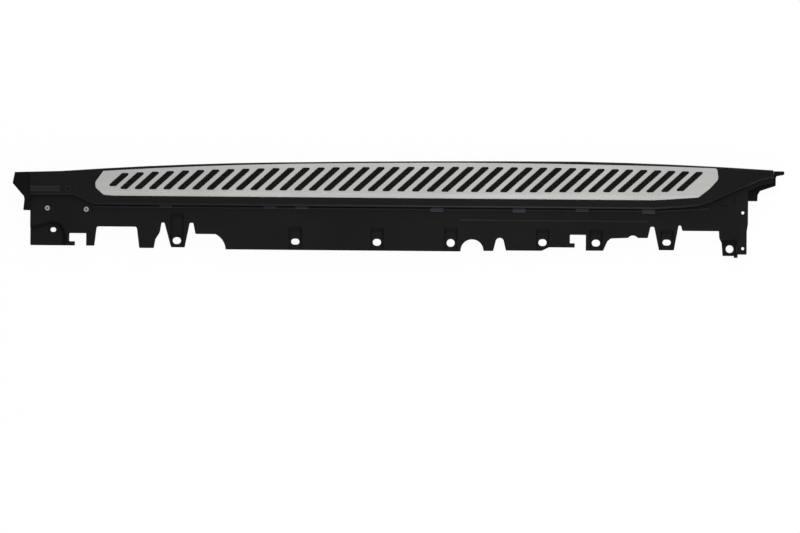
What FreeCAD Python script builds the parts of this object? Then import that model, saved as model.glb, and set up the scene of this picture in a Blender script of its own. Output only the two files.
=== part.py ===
"""Side step for a large car: a hollow black step moulding with a slotted aluminium tread, and the
sill panel that carries it on the car.

+X runs along the board to the front of the car, +Y points outwards, +Z up. The origin is the middle
of the board's box on the plane it stands on. The seam between step and sill panel is the line y = 0
along the middle of the board, and every reach below is measured from it."""
import FreeCAD, Part
import math
import os
from types import SimpleNamespace

import Sketcher
from FreeCAD import Vector

SIZES = {
    # Runs of the sill panel's edge, from the rear end of the board to its front end
    "rear_cap_length": 47.0,
    "block_length": 120.0,
    "hook_gap": 30.0,
    "post_width": 22.0,
    "jack_notch_length": 120.0,
    "rear_tab_width": 39.0,
    "rear_gap_length": 46.0,
    "long_tab_width": 36.5,
    "long_tab_gap": 28.5,
    "rear_ledge_length": 53.5,
    "rear_curve_length": 27.5,
    "main_edge_length": 628.0,
    "round_notch_length": 61.0,
    "small_tab_width": 26.0,
    "narrow_notch_length": 34.0,
    "middle_edge_length": 96.0,
    "slant_length": 19.0,
    "front_hook_length": 69.0,
    "front_hook_gap": 29.5,
    "front_edge_length": 46.5,
    "front_curve_length": 40.0,
    "front_ledge_length": 79.0,
    "front_gap_length": 30.0,
    "front_tab_width": 40.0,
    "front_tab_gap": 22.5,
    "corner_ledge_length": 97.5,
    "corner_curve_length": 11.5,
    "corner_block_length": 63.0,
    "corner_to_cap_length": 28.5,
    "front_cap_length": 49.0,
    "tongue_length": 21.0,
    # Reach of the sill panel's edge from the seam
    "block_reach": 109.0,
    "hook_notch_reach": 76.0,
    "hook_length": 15.0,
    "hook_height": 11.5,
    "jack_notch_reach": 57.5,
    "rear_tab_reach": 114.0,
    "gap_reach": 46.0,
    "long_tab_reach": 111.5,
    "rear_ledge_reach": 75.5,
    "main_edge_reach": 116.0,
    "round_notch_reach": 83.5,
    "small_tab_reach": 114.0,
    "narrow_notch_reach": 79.0,
    "middle_edge_reach": 112.5,
    "front_hook_reach": 103.0,
    "front_notch_reach": 69.0,
    "front_edge_reach": 111.0,
    "front_ledge_reach": 76.0,
    "arch_reach": 69.5,
    "front_tab_reach": 108.0,
    "corner_ledge_reach": 56.0,
    "corner_block_reach": 122.0,
    "corner_stub_reach": 126.8,
    # Heights and walls
    "deck_height": 56.0,
    "panel_drop": 12.0,
    "wall": 3.0,
    "rib_thickness": 2.5,
    "fit_gap": 0.4,
    "ledge_width": 14.0,
    "rear_ledge_width": 50.0,
    # Outer edge of the step, seen from above
    "outer_rear_y": 86.0,
    "outer_bend_y": 90.0,
    "outer_waist_y": 117.8,
    "outer_crest_y": 126.8,
    "outer_front_y": 108.0,
    "outer_rear_gap": 6.0,
    "outer_front_gap": 9.0,
    "rear_taper_length": 131.0,
    "rear_arc_length": 580.0,
    "front_arc_length": 520.0,
    "rear_arc_rise": 4.0,
    "middle_arc_rise": 1.9,
    "front_arc_rise": 3.0,
    "lip_radius": 3.0,
    "seam_radius": 7.0,
    "skirt_drop": 30.0,
    "skirt_tuck": 22.0,
    # Seam of the step, from the rear shoulder to the wedge
    "shoulder_y": 25.0,
    "shoulder_length": 116.0,
    "shoulder_slope_length": 52.0,
    "wedge_length": 191.0,
    "wedge_run_in": 122.0,
    "wedge_start_y": 9.0,
    "wedge_tip_y": 80.0,
    "wedge_tip_length": 38.0,
    "wedge_tip_rise": 8.0,
    "wedge_tip_gap": 6.0,
    # Tread plate
    "plate_rear_offset": 221.5,
    "plate_front_offset": 177.0,
    "lip_at_rear": 7.2,
    "lip_at_waist": 4.2,
    "lip_at_crest": 7.4,
    "lip_at_front": 4.4,
    "lip_waist_length": 314.0,
    "lip_crest_reach": 70.0,
    "plate_corner_run": 14.0,
    "plate_inner_y": 24.5,
    "plate_band": 13.5,
    "plate_band_fall": 2.7,
    "plate_thickness": 1.5,
    "plate_recess": 3.0,
    "stud_radius": 2.5,
    "stud_length": 12.0,
    # Slots and rubber bars
    "slot_pitch": 38.84,
    "slot_crowding": 0.0125,
    "slot_width": 22.0,
    "slot_middle_y": 78.0,
    "slot_outer_margin": 10.8,
    "slot_inner_margin": 18.0,
    "slot_front_margin": 21.0,
    "first_slot_lift": 6.5,
    "slot_slant": 1.1,
    "slot_corner": 3.0,
    "slot_end_margin": 46.5,
    "mat_inset": 2.0,
    "bar_proud": 1.1,
    "bar_gap": 0.4,
    # Beam, brackets and under cover
    "beam_width": 40.0,
    "beam_depth": 30.0,
    "beam_wall": 2.5,
    "beam_y": 48.0,
    "beam_rear_offset": 250.0,
    "beam_front_offset": 200.0,
    "beam_clearance": 2.0,
    "boss_radius": 7.0,
    "bracket_length": 96.0,
    "bracket_width": 72.0,
    "bracket_thickness": 5.0,
    "bracket_rise": 0.5,
    "bracket_bolt_spacing": 60.0,
    "bracket_corner": 8.0,
    "bracket_sink_depth": 3.0,
    "mount_hole_spacing": 55.0,
    "mount_hole_radius": 4.5,
    "cover_thickness": 2.5,
    # Fasteners
    "screw_radius": 3.0,
    "insert_radius": 4.5,
    "insert_length": 9.0,
    "thread_gap": 0.1,
    "small_head_radius": 5.5,
    "small_head_height": 1.5,
    "bolt_head_radius": 5.25,
    "bolt_length": 12.0,
    "cover_screw_length": 15.0,
    "cap_head_height": 3.0,
    "cap_screw_length": 12.0,
    "rear_head_radius": 6.5,
    "rear_head_height": 3.4,
    "rear_screw_length": 16.0,
    "rear_socket": 6.0,
    "rear_socket_depth": 2.2,
    "washer_radius": 6.8,
    "washer_thickness": 1.2,
    "rear_nut_height": 5.0,
    "rear_nut_flats": 10.0,
    "weld_nut_height": 7.0,
    "weld_nut_flats": 13.0,
    "weld_nut_bore": 4.2,
    "plate_nut_height": 4.0,
    "plate_nut_flats": 8.0,
    "plate_washer_radius": 5.0,
    "plate_washer_thickness": 1.0,
    "clip_length": 34.0,
    "clip_sheet": 1.2,
    "clip_height": 5.0,
    "clip_curl": 3.5,
    # Fixing holes and their dished pads
    "hole_width": 22.0,
    "hole_height": 18.0,
    "oval_hole_height": 15.5,
    "round_hole_size": 20.5,
    "block_hole_width": 15.0,
    "block_hole_height": 12.0,
    "hole_edge_distance": 22.5,
    "pad_width": 36.0,
    "pad_start_reach": 53.0,
    "long_pad_start_reach": 20.0,
    "pad_slope": 12.0,
    "pad_side_slope": 4.0,
    "pad_overrun": 10.0,
    "pad_depth": 6.0,
    "dimple_depth": 9.0,
    "corner_pad_depth": 16.0,
    "corner_slot_depth": 2.0,
    "corner_hole": 8.0,
    "bead_reach": 32.0,
    "bead_width": 4.0,
    "bead_height": 1.0,
    "seam_bead_width": 7.0,
    "seam_bead_height": 1.2,
    "seam_bead_drift": 7.4,
    # Marks on the rear shoulder
    "shoulder_bar_offset": 17.7,
    "shoulder_bar_width": 17.0,
    "shoulder_bar_length": 81.0,
    "shoulder_bar_height": 5.0,
    "shoulder_ring_offset": 102.0,
    "shoulder_ring_radius": 9.0,
    "shoulder_hole_radius": 5.0,
    "shoulder_mark_height": 2.5,
    # End caps
    "rear_cap_low": 14.0,
    "rear_cap_drop": 2.0,
    "rear_cap_reach": 15.5,
    "front_cap_height": 26.0,
    "front_cap_inner_y": 25.5,
    "front_post_drop": 8.0,
    "tongue_drop": 12.0,
    "tongue_thickness": 4.0,
}

EDGE_RUNS = (
    "rear_cap_length", "block_length", "hook_gap", "post_width", "jack_notch_length", "rear_tab_width",
    "rear_gap_length", "long_tab_width", "long_tab_gap", "rear_ledge_length", "rear_curve_length",
    "main_edge_length", "round_notch_length", "small_tab_width", "narrow_notch_length",
    "middle_edge_length", "slant_length", "front_hook_length", "front_hook_gap", "front_edge_length",
    "front_curve_length", "front_ledge_length", "front_gap_length", "front_tab_width",
    "front_tab_gap", "corner_ledge_length", "corner_curve_length", "corner_block_length",
    "corner_to_cap_length", "front_cap_length", "tongue_length",
)
# Each clip's share of the way along the straight seam, and how far it stands out
SEAM_CLIPS = (
    (0.129, 5.5), (0.314, 5.5), (0.370, 6.5), (0.610, 10.5), (0.756, 10.5), (0.868, 7.0), (0.986, 10.5),
)
BRACKET_BAYS = (1, 5, 8, 11)
COVER_RIBS = (0, 2, 4, 6, 8, 10, 12)
DECK_SCREW_RIBS = (0, 3, 5, 8, 10, 12)
STUDS_PER_SLOT = 5
MITRE_LIMIT = 0.45
SLOT_MITRE_LIMIT = 0.7
# Edges of the step's form that are shorter close its ends, and stay sharp
LONG_EDGE = 60.0
SEAM_EDGE = 8.0
# How far below and above a slot's middle its ends lie, where the tread's margins are measured
SLOT_FOOT = 34.0
SLOT_HEAD = 30.0
# Half the height over which the first and last slot lean into the tread's ends
SLOT_LEAN_REACH = 15.0
# Where the slots' inner margin starts and stops to change, measured from the tread's front end
MARGIN_STOPS = (500.0, 200.0)
# The first and last hole of the main edge, from that edge's ends, and the share between them of the next
FIRST_HOLE = 186.0
LAST_HOLE = 26.5
MIDDLE_HOLE_SHARE = 0.525
# How much of the wedge's run the seam bead follows
SEAM_BEAD_SHARE = 0.88
# How far the bores run past a cover screw's tip, and to each side of an end wall
COVER_DRILL_RUN_OUT = 7.0
CAP_DRILL_REACH = 10.0
# The two screws at the rear: how far the first lies from the cap, and how far both lie below the seam
REAR_SCREW_OFFSET = 46.0
REAR_SCREW_DROPS = (9.5, 12.0)


def make_sheet(doc):
    """The spreadsheet of driving dimensions, one named cell each."""
    sheet = doc.addObject("Spreadsheet::Sheet", "Sizes")
    for row, (name, value) in enumerate(SIZES.items(), 1):
        sheet.set(f"A{row}", name)
        sheet.set(f"B{row}", str(value))
        sheet.setAlias(f"B{row}", name)
    doc.recompute()
    return SimpleNamespace(**{name: float(sheet.get(name)) for name in SIZES})


def edge_stations(size):
    """Where each run of the panel's edge ends, measured from the middle of the board."""
    length = sum(getattr(size, run) for run in EDGE_RUNS)
    here = -length / 2
    ends = {"rear_end": here}
    for run in EDGE_RUNS:
        here += getattr(size, run)
        ends[run] = here
    return SimpleNamespace(**ends)


def unit(start, end):
    """Direction from one point to the next, and their distance."""
    dx = end[0] - start[0]
    dy = end[1] - start[1]
    run = math.hypot(dx, dy)
    return dx / run, dy / run, run


def outline(corners, limit=MITRE_LIMIT, cut_straight=False):
    """Edges of a closed outline. A corner is (x, y), or (x, y, radius) where it is rounded. A corner
    (x, y, "via") is a point that the arc between its neighbours passes. A rounding takes at most the
    limit's share of either edge. Rounded corners can be cut straight across instead."""
    points = []
    vias = {}
    for corner in corners:
        if len(corner) == 3 and corner[2] == "via":
            vias[len(points) - 1] = Vector(corner[0], corner[1], 0)
        else:
            points.append(corner)
    count = len(points)
    arrive = []
    leave = []
    rounds = []
    for i, point in enumerate(points):
        radius = point[2] if len(point) == 3 else 0.0
        here = Vector(point[0], point[1], 0)
        if radius and i not in vias and (i - 1) % count not in vias:
            bx, by, back = unit(point, points[i - 1])
            fx, fy, ahead = unit(point, points[(i + 1) % count])
            half = math.acos(max(-1.0, min(1.0, bx * fx + by * fy))) / 2
            if half < math.pi / 2 - 1e-3:
                reach = min(radius / math.tan(half), limit * back, limit * ahead)
                radius = reach * math.tan(half)
                middle = Vector(bx + fx, by + fy, 0).normalize()
                centre = here + middle * (radius / math.sin(half))
                arrive.append(here + Vector(bx, by, 0) * reach)
                leave.append(here + Vector(fx, fy, 0) * reach)
                rounds.append(centre - middle * radius)
                continue
        arrive.append(here)
        leave.append(here)
        rounds.append(None)
    edges = []
    for i in range(count):
        if rounds[i] is not None and cut_straight:
            edges.append(Part.LineSegment(arrive[i], leave[i]))
        elif rounds[i] is not None:
            edges.append(Part.Arc(arrive[i], rounds[i], leave[i]))
        after = (i + 1) % count
        if i in vias:
            edges.append(Part.Arc(leave[i], vias[i], arrive[after]))
        else:
            edges.append(Part.LineSegment(leave[i], arrive[after]))
    return edges


def offset_line(points, distance):
    """An open line moved sideways by a distance, to its left where that is positive."""
    moved = []
    for i, point in enumerate(points):
        normals = []
        if i:
            dx, dy, _ = unit(points[i - 1], point)
            normals.append((-dy, dx))
        if i < len(points) - 1:
            dx, dy, _ = unit(point, points[i + 1])
            normals.append((-dy, dx))
        nx = sum(n[0] for n in normals)
        ny = sum(n[1] for n in normals)
        scale = distance * len(normals) / (nx * nx + ny * ny)
        moved.append((point[0] + nx * scale, point[1] + ny * scale) + tuple(point[2:]))
    return moved


def line_height(points, x):
    """Height of an open line that runs along the board, at a given x."""
    for start, end in zip(points, points[1:]):
        low, high = sorted((start[0], end[0]))
        if low <= x <= high:
            return start[1] + (end[1] - start[1]) * (x - start[0]) / (end[0] - start[0])
    nearest = points[0] if abs(x - points[0][0]) < abs(x - points[-1][0]) else points[-1]
    return nearest[1]


def new_body(doc, label):
    body = doc.addObject("PartDesign::Body", label)
    body.Label = label
    return body


def add_sketch(body, name, outlines, level=None, plane="XY_Plane"):
    """A sketch of closed outlines on one of the body's own planes, at a height from the sheet."""
    sketch = body.newObject("Sketcher::SketchObject", name)
    support = next(f for f in body.Origin.OriginFeatures if f.Role == plane)
    sketch.AttachmentSupport = (support, [""])
    sketch.MapMode = "FlatFace"
    if level is not None:
        sketch.setExpression("AttachmentOffset.Base.z", level)
    for edges in outlines:
        first = sketch.GeometryCount
        sketch.addGeometry(edges, False)
        blocks = [Sketcher.Constraint("Block", i) for i in range(first, sketch.GeometryCount)]
        sketch.addConstraint(blocks)
    return sketch


def add_circles(body, name, centres, radius, radius_cell, level, plane="XY_Plane"):
    """A sketch of equal circles whose radius is a cell of the sheet."""
    sketch = add_sketch(body, name, [], level, plane)
    for i, (x, y) in enumerate(centres):
        sketch.addGeometry(Part.Circle(Vector(x, y, 0), Vector(0, 0, 1), radius), False)
        sketch.addConstraint(Sketcher.Constraint("Radius", i, radius))
        sketch.setExpression(f"Constraints[{sketch.ConstraintCount - 1}]", radius_cell)
    return sketch


def add_pad(body, sketch, length, reverse=False, taper=0.0):
    pad = body.newObject("PartDesign::Pad", sketch.Name + "_pad")
    pad.Profile = sketch
    pad.setExpression("Length", length)
    pad.Reversed = reverse
    pad.TaperAngle = taper
    sketch.Visibility = False
    return pad


def add_pocket(body, sketch, length=None, both=False, reverse=False):
    """A pocket of a given depth, or right through where no depth is given."""
    pocket = body.newObject("PartDesign::Pocket", sketch.Name + "_cut")
    pocket.Profile = sketch
    if length is None:
        pocket.Type = "ThroughAll"
    else:
        pocket.setExpression("Length", length)
    pocket.Midplane = both
    pocket.Reversed = reverse
    sketch.Visibility = False
    return pocket


def add_loft(body, kind, first, second):
    loft = body.newObject(kind, first.Name + "_loft")
    loft.Profile = first
    loft.Sections = [second]
    loft.Ruled = True
    return loft


def add_round(body, base, radius, choose, kind="PartDesign::Fillet"):
    """Round the edges of the last feature that the test picks."""
    body.Document.recompute()
    names = [f"Edge{i}" for i, edge in enumerate(base.Shape.Edges, 1) if choose(edge)]
    if not names:
        raise RuntimeError(f"{body.Label}: no edge to round")
    rounding = body.newObject(kind, base.Name + "_round")
    rounding.Base = (base, names)
    if kind == "PartDesign::Fillet":
        rounding.setExpression("Radius", radius)
    return rounding


def slot_outline(x, y, width, height):
    """A hole with straight sides and round ends, longer along x."""
    r = height / 2
    straight = width / 2 - r
    if straight < 0.5:
        return circle(x, y, r)
    return outline([
        (x - straight, y - r), (x + straight, y - r), (x + straight + r, y, "via"),
        (x + straight, y + r), (x - straight, y + r), (x - straight - r, y, "via"),
    ])


def box_outline(x0, x1, y0, y1, radius=0.0, cut_straight=False):
    corners = [(x0, y0, radius), (x1, y0, radius), (x1, y1, radius), (x0, y1, radius)]
    return outline(corners, cut_straight=cut_straight)


def circle(x, y, radius):
    return [Part.Circle(Vector(x, y, 0), Vector(0, 0, 1), radius)]


def hexagon(x, y, across_flats):
    reach = across_flats / math.sqrt(3)
    corners = [(x + reach * math.cos(math.radians(60 * i)), y + reach * math.sin(math.radians(60 * i)))
               for i in range(6)]
    return outline(corners)


def seam_line(size, at):
    """The step's inner edge, from the rear cap to the wedge's tip."""
    rear = at.rear_cap_length
    shoulder = rear + size.shoulder_length
    tip = at.front_cap_length - size.wedge_tip_gap
    wedge = tip - size.wedge_tip_length
    start = wedge - size.wedge_length + size.wedge_tip_length
    return [
        (rear, size.shoulder_y - 1),
        (shoulder, size.shoulder_y, 30.0),
        (shoulder + size.shoulder_slope_length, 0.0, 40.0),
        (start - size.wedge_run_in, 0.0, 200.0),
        (start, size.wedge_start_y, 200.0),
        (wedge, size.wedge_tip_y, 60.0),
        (tip, size.wedge_tip_y + size.wedge_tip_rise),
    ]


def outer_line(size, at, inset=0.0):
    """The step's outer edge from its rear to its front end: a straight run and three arcs."""
    bend = at.rear_end + size.rear_taper_length
    waist = bend + size.rear_arc_length
    front = at.front_cap_length - size.outer_front_gap
    crest = front - size.front_arc_length
    ends = [(bend, size.outer_bend_y), (waist, size.outer_waist_y), (crest, size.outer_crest_y),
            (front, size.outer_front_y)]
    rises = (size.rear_arc_rise, size.middle_arc_rise, size.front_arc_rise)
    line = [(at.rear_end + size.outer_rear_gap, size.outer_rear_y - inset), (bend, size.outer_bend_y - inset)]
    for start, end, rise in zip(ends, ends[1:], rises):
        line.append(((start[0] + end[0]) / 2, (start[1] + end[1]) / 2 + rise - inset, "via"))
        line.append((end[0], end[1] - inset))
    return line


def outer_height(size, at, x):
    """How far out the step's outer edge lies at a given x."""
    line = outer_line(size, at)
    for i, point in enumerate(line):
        if len(point) == 3:
            start = line[i - 1]
            end = line[i + 1]
            if start[0] <= x <= end[0]:
                share = (x - start[0]) / (end[0] - start[0])
                rise = point[1] - (start[1] + end[1]) / 2
                return start[1] + (end[1] - start[1]) * share + rise * 4 * share * (1 - share)
    return line_height([p for p in line if len(p) == 2], x)


def trimmed_outer_line(size, at, start_x, end_x, inset):
    """The outer edge between two places, set in by a distance."""
    line = outer_line(size, at, inset)
    kept = [(start_x, outer_height(size, at, start_x) - inset)]
    for i, point in enumerate(line):
        if len(point) == 3:
            low = max(line[i - 1][0], start_x)
            high = min(line[i + 1][0], end_x)
            if high - low > 1.0:
                middle = (low + high) / 2
                kept.append((middle, outer_height(size, at, middle) - inset, "via"))
                kept.append((high, outer_height(size, at, high) - inset))
        elif start_x + 1.0 < point[0] < end_x and i == 1:
            kept.append(point)
    return kept


def step_outline(size, at, inset=0.0):
    """Plan of the step moulding, set in by a distance all round."""
    seam = offset_line(seam_line(size, at), inset)
    rear = seam[0][0] + inset
    tip = seam[-1][0] - inset
    seam[0] = (rear, seam[0][1])
    seam[-1] = (tip, seam[-1][1])
    outer = trimmed_outer_line(size, at, rear, tip, inset)
    return outline(outer + seam[::-1])


def plate_ends(size, at):
    return at.rear_end + size.plate_rear_offset, at.tongue_length - size.plate_front_offset


def lip_widths(size, at):
    """Width of the step's lip beside the tread, at four places along the board."""
    rear, front = plate_ends(size, at)
    crest = at.front_cap_length - size.outer_front_gap - size.front_arc_length
    waist = (rear + crest) / 2
    return [
        (rear, size.lip_at_rear), (waist, size.lip_at_waist),
        (waist + size.lip_waist_length, size.lip_at_waist),
        (crest + size.lip_crest_reach, size.lip_at_crest), (front, size.lip_at_front),
    ]


def tread_edge(size, at, x, inset=0.0):
    """A point of the tread's outer edge, set in by a distance."""
    return x, outer_height(size, at, x) - line_height(lip_widths(size, at), x) - inset


def plate_inner_line(size, at, inset=0.0):
    """The tread's inner edge, from its rear end round to its front end."""
    rear, front = plate_ends(size, at)
    y = size.plate_inner_y
    return offset_line([
        tread_edge(size, at, rear + 21),
        (rear - 1, y + 36, 22.0),
        (rear + 1, y + 21.5, 10.0),
        (rear + 22, y + 2.7, 14.0),
        (rear + 45, y + 0.4, 40.0),
        (front - 170, y + 0.5, 200.0),
        (front - 52.5, y + 9, 8.0),
        (front - 23, y + 32, 60.0),
        (front + 0.5, y + 58, 14.0),
        (*tread_edge(size, at, front - 3), 9.0),
    ], inset)


def tread_corners(size, at, inset=0.0, lowest=-math.inf):
    """Corners of the tread's plan, set in by a distance, or let out where that is negative. The plan can
    be kept above a lowest y."""
    inner = plate_inner_line(size, at, inset)
    x, _, radius = inner[-1]
    start = inner[0][0]
    end = x - size.plate_corner_run
    stops = [start] + [stop for stop, _ in lip_widths(size, at) if start < stop < end] + [end]
    outer = [tread_edge(size, at, start, inset)]
    for low, high in zip(stops, stops[1:]):
        outer.append((*tread_edge(size, at, (low + high) / 2, inset), "via"))
        outer.append(tread_edge(size, at, high, inset))
    outer.append((*tread_edge(size, at, x, inset), radius))
    return outer + [(x, max(y, lowest), *rest) for x, y, *rest in inner[-2:0:-1]]


def slot_places(size, at):
    """Middle x of each slot, at the height where the slots are measured."""
    rear, front = plate_ends(size, at)
    first = rear + size.slot_end_margin + size.slot_width / 2 + size.slot_slant * SLOT_LEAN_REACH
    last = front - size.slot_end_margin - size.slot_width / 2 - size.slot_slant * SLOT_LEAN_REACH
    count = int(round((last - first) / size.slot_pitch)) + 1
    middle = (first + last) / 2
    half = size.slot_pitch * (count - 1) / 2
    places = []
    for i in range(count):
        reach = i * size.slot_pitch - half
        places.append(middle + reach * (1 + size.slot_crowding * (1 - (reach / half) ** 2)))
    return places


def slot_outlines(size, at, shrink=0.0, cut_straight=False):
    """The slanted slots between the tread's two margins, slightly closer together towards both ends."""
    inner = plate_inner_line(size, at)[2:-1]
    _, front = plate_ends(size, at)
    margins = [(front - stop, margin)
               for stop, margin in zip(MARGIN_STOPS, (size.slot_inner_margin, size.slot_front_margin))]
    lean = size.slot_slant
    side = size.slot_width / 2 - shrink * math.hypot(lean, 1)
    radius = size.slot_corner - shrink
    slots = []
    for i, x in enumerate(slot_places(size, at)):
        low = line_height(inner, x - lean * SLOT_FOOT) + line_height(margins, x) + shrink
        if i == 0:
            low += size.first_slot_lift
        high = tread_edge(size, at, x + lean * SLOT_HEAD)[1] - size.slot_outer_margin - shrink
        corners = [(x + (y - size.slot_middle_y) * lean + sign * side, y, radius)
                   for y, sign in ((low, -1), (low, 1), (high, 1), (high, -1))]
        slots.append(outline(corners, SLOT_MITRE_LIMIT, cut_straight))
    return slots


def stud_places(size, at):
    """Studs stand on the lands between slots, along the middle of the tread."""
    places = slot_places(size, at)
    pairs = list(zip(places, places[1:]))[2::STUDS_PER_SLOT]
    return [((x0 + x1) / 2, size.slot_middle_y) for x0, x1 in pairs]


def rib_places(size, at):
    """Ribs of the hollow stand under every third slot, so they miss the studs."""
    return slot_places(size, at)[1::3]


def levels(size):
    """Heights worked out from the sheet."""
    top = size.deck_height
    beam_low = size.bracket_rise + size.bracket_thickness
    return SimpleNamespace(
        deck=top,
        panel=top - size.panel_drop,
        recess=top - size.plate_recess,
        ceiling=top - size.plate_recess - size.wall,
        bracket=size.bracket_rise,
        beam_low=beam_low,
        beam_top=beam_low + size.beam_depth,
    )


def raised(edge, height):
    box = edge.BoundBox
    return abs(box.ZMin - height) < 0.01 and abs(box.ZMax - height) < 0.01


def tuck_skirt(body, base, name, low_y, drop, tuck):
    """Cut a form's lower outer edge back at a slant, so that its skirt tucks under."""
    body.Document.recompute()
    names = [f"Edge{i}" for i, edge in enumerate(base.Shape.Edges, 1)
             if raised(edge, 0) and edge.CenterOfMass.y > low_y and edge.Length > LONG_EDGE]
    skirt = body.newObject("PartDesign::Chamfer", name)
    skirt.Base = (base, names)
    skirt.ChamferType = "Two distances"
    skirt.setExpression("Size", drop)
    skirt.setExpression("Size2", tuck)


def make_step_form(doc, size, at):
    """The step's outer form, with its rounded edges, the recess of the tread and the panel's ledge."""
    level = levels(size)
    body = new_body(doc, "step_form")
    plan = add_sketch(body, "step_plan", [step_outline(size, at)])
    hull = add_pad(body, plan, "Sizes.deck_height")

    def outer_top(edge):
        return (raised(edge, level.deck) and edge.CenterOfMass.y > size.outer_rear_y
                and edge.Length > LONG_EDGE)

    def seam_top(edge):
        return (raised(edge, level.deck) and edge.CenterOfMass.y < size.wedge_tip_y
                and edge.BoundBox.XLength > SEAM_EDGE)

    lip = add_round(body, hull, "Sizes.lip_radius", outer_top)
    seam = add_round(body, lip, "Sizes.seam_radius", seam_top)
    tuck_skirt(body, seam, "skirt_tuck", size.outer_rear_y, "Sizes.skirt_drop", "Sizes.skirt_tuck")
    seat = outline(tread_corners(size, at, -size.fit_gap))
    recess = add_sketch(body, "tread_recess", [seat], "Sizes.deck_height")
    add_pocket(body, recess, "Sizes.plate_recess")
    shelf = add_sketch(body, "panel_ledge", [ledge_outline(size, at)],
                       "Sizes.deck_height - Sizes.panel_drop - 2 * Sizes.wall")
    add_pad(body, shelf, "Sizes.wall")
    rear_details(body, size, at)
    return body


def make_hollow_form(doc, size, at):
    """The room inside the step, one wall smaller than its outer form."""
    body = new_body(doc, "hollow_form")
    plan = add_sketch(body, "hollow_plan", [step_outline(size, at, size.wall)])
    hollow = add_pad(body, plan, "Sizes.deck_height - Sizes.plate_recess - Sizes.wall")
    slope = math.hypot(size.skirt_drop, size.skirt_tuck)
    drop = size.skirt_drop + size.wall * (slope - size.skirt_drop) / size.skirt_tuck
    tuck = drop * size.skirt_tuck / size.skirt_drop
    tuck_skirt(body, hollow, "hollow_tuck", size.outer_rear_y - size.wall, f"{drop}", f"{tuck}")
    return body


def add_cut(doc, name, base, tool):
    cut = doc.addObject("Part::Cut", name)
    cut.Base = base
    cut.Tool = tool
    return cut


def make_ribs_and_bosses(doc, size, at):
    """Cross ribs, notched for the beam, with the bosses and posts that take the screws."""
    level = levels(size)
    ribs = []
    for i, x in enumerate(rib_places(size, at)):
        rib = doc.addObject("Part::Box", f"rib_{i}")
        rib.setExpression("Length", "Sizes.rib_thickness")
        rib.Width = size.outer_crest_y
        rib.Height = level.ceiling
        rib.Placement.Base = Vector(x - size.rib_thickness / 2, 0, size.cover_thickness)
        ribs.append(rib)
    channel = doc.addObject("Part::Box", "beam_channel")
    beam_rear, beam_front = beam_ends(size, at)
    reach = size.beam_width / 2 + size.beam_clearance
    channel.Length = beam_front - beam_rear + 2 * reach
    channel.Width = 2 * reach
    channel.Height = level.beam_top + size.beam_clearance
    channel.Placement.Base = Vector(beam_rear - reach, size.beam_y - reach, 0)
    rib_set = doc.addObject("Part::MultiFuse", "rib_set")
    rib_set.Shapes = ribs
    notched = add_cut(doc, "notched_ribs", rib_set, channel)
    bosses = [
        add_cylinder(doc, f"deck_boss_{i}", x, y, level.beam_top, level.ceiling, "boss_radius")
        for i, (x, y) in enumerate(deck_screw_places(size, at))
    ]
    posts = [
        add_cylinder(doc, f"cover_post_{i}", x, y, size.cover_thickness, level.ceiling, "boss_radius")
        for i, (x, y) in enumerate(cover_screw_places(size, at))
    ]
    inside = doc.addObject("Part::MultiFuse", "ribs_and_bosses")
    inside.Shapes = [notched] + bosses + posts
    return inside


def make_step_drills(doc, size, at):
    """The bores of the step: for studs, deck screws with their sinks, cover, rear and end cap screws."""
    level = levels(size)
    drills = [
        add_cylinder(doc, f"stud_hole_{i}", x, y, level.ceiling - 1, level.deck, "stud_radius", size.fit_gap)
        for i, (x, y) in enumerate(stud_places(size, at))
    ]
    for i, (x, y) in enumerate(deck_screw_places(size, at)):
        drills.append(add_cylinder(doc, f"deck_hole_{i}", x, y, level.beam_top - 1, level.deck,
                                   "screw_radius", size.fit_gap))
        sink = doc.addObject("Part::Cone", f"deck_sink_{i}")
        sink.Radius1 = size.screw_radius + size.fit_gap
        sink.Radius2 = size.screw_radius * 2 + size.fit_gap
        sink.setExpression("Height", "Sizes.screw_radius")
        sink.Placement.Base = Vector(x, y, level.recess - size.screw_radius)
        drills.append(sink)
    cover_drill = size.cover_screw_length + COVER_DRILL_RUN_OUT
    for i, (x, y) in enumerate(cover_screw_places(size, at)):
        drills.append(add_cylinder(doc, f"cover_hole_{i}", x, y, 0, cover_drill, "screw_radius"))
    for i, (x, y) in enumerate(rear_screw_places(size, at)):
        drills.append(add_cylinder(doc, f"rear_hole_{i}", x, y, level.panel - 3 * size.wall,
                                   level.panel, "screw_radius", size.fit_gap))
    along = FreeCAD.Rotation(Vector(0, 1, 0), 90)
    for name, end_x in (("rear", at.rear_cap_length), ("front", seam_line(size, at)[-1][0])):
        drill_x = end_x - CAP_DRILL_REACH
        for i, (y, z) in enumerate(cap_screw_places(size, at, name)):
            drill = add_cylinder(doc, f"{name}_cap_hole_{i}", drill_x, y, 0, 2 * CAP_DRILL_REACH,
                                 "screw_radius")
            drill.Placement = FreeCAD.Placement(Vector(drill_x, y, z), along)
            drills.append(drill)
    holes = doc.addObject("Part::MultiFuse", "step_holes")
    holes.Shapes = drills
    return holes


def make_step_shell(doc, size, at):
    """The step moulding: a skirted hull, hollow from below between cross ribs."""
    form = make_step_form(doc, size, at)
    room = make_hollow_form(doc, size, at)
    cells = add_cut(doc, "hollow_cells", room, make_ribs_and_bosses(doc, size, at))
    shell = add_cut(doc, "hollowed_step", form, cells)
    done = add_cut(doc, "step_shell", shell, make_step_drills(doc, size, at))
    done.Label = "step_shell"
    return done


def add_cylinder(doc, name, x, y, low, high, radius_name, extra=0.0):
    """An upright cylinder whose radius is a cell of the sheet, with a clearance where one is given."""
    cylinder = doc.addObject("Part::Cylinder", name)
    cylinder.setExpression("Radius", f"Sizes.{radius_name} + {extra}")
    cylinder.Height = high - low
    cylinder.Placement.Base = Vector(x, y, low)
    return cylinder


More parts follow.
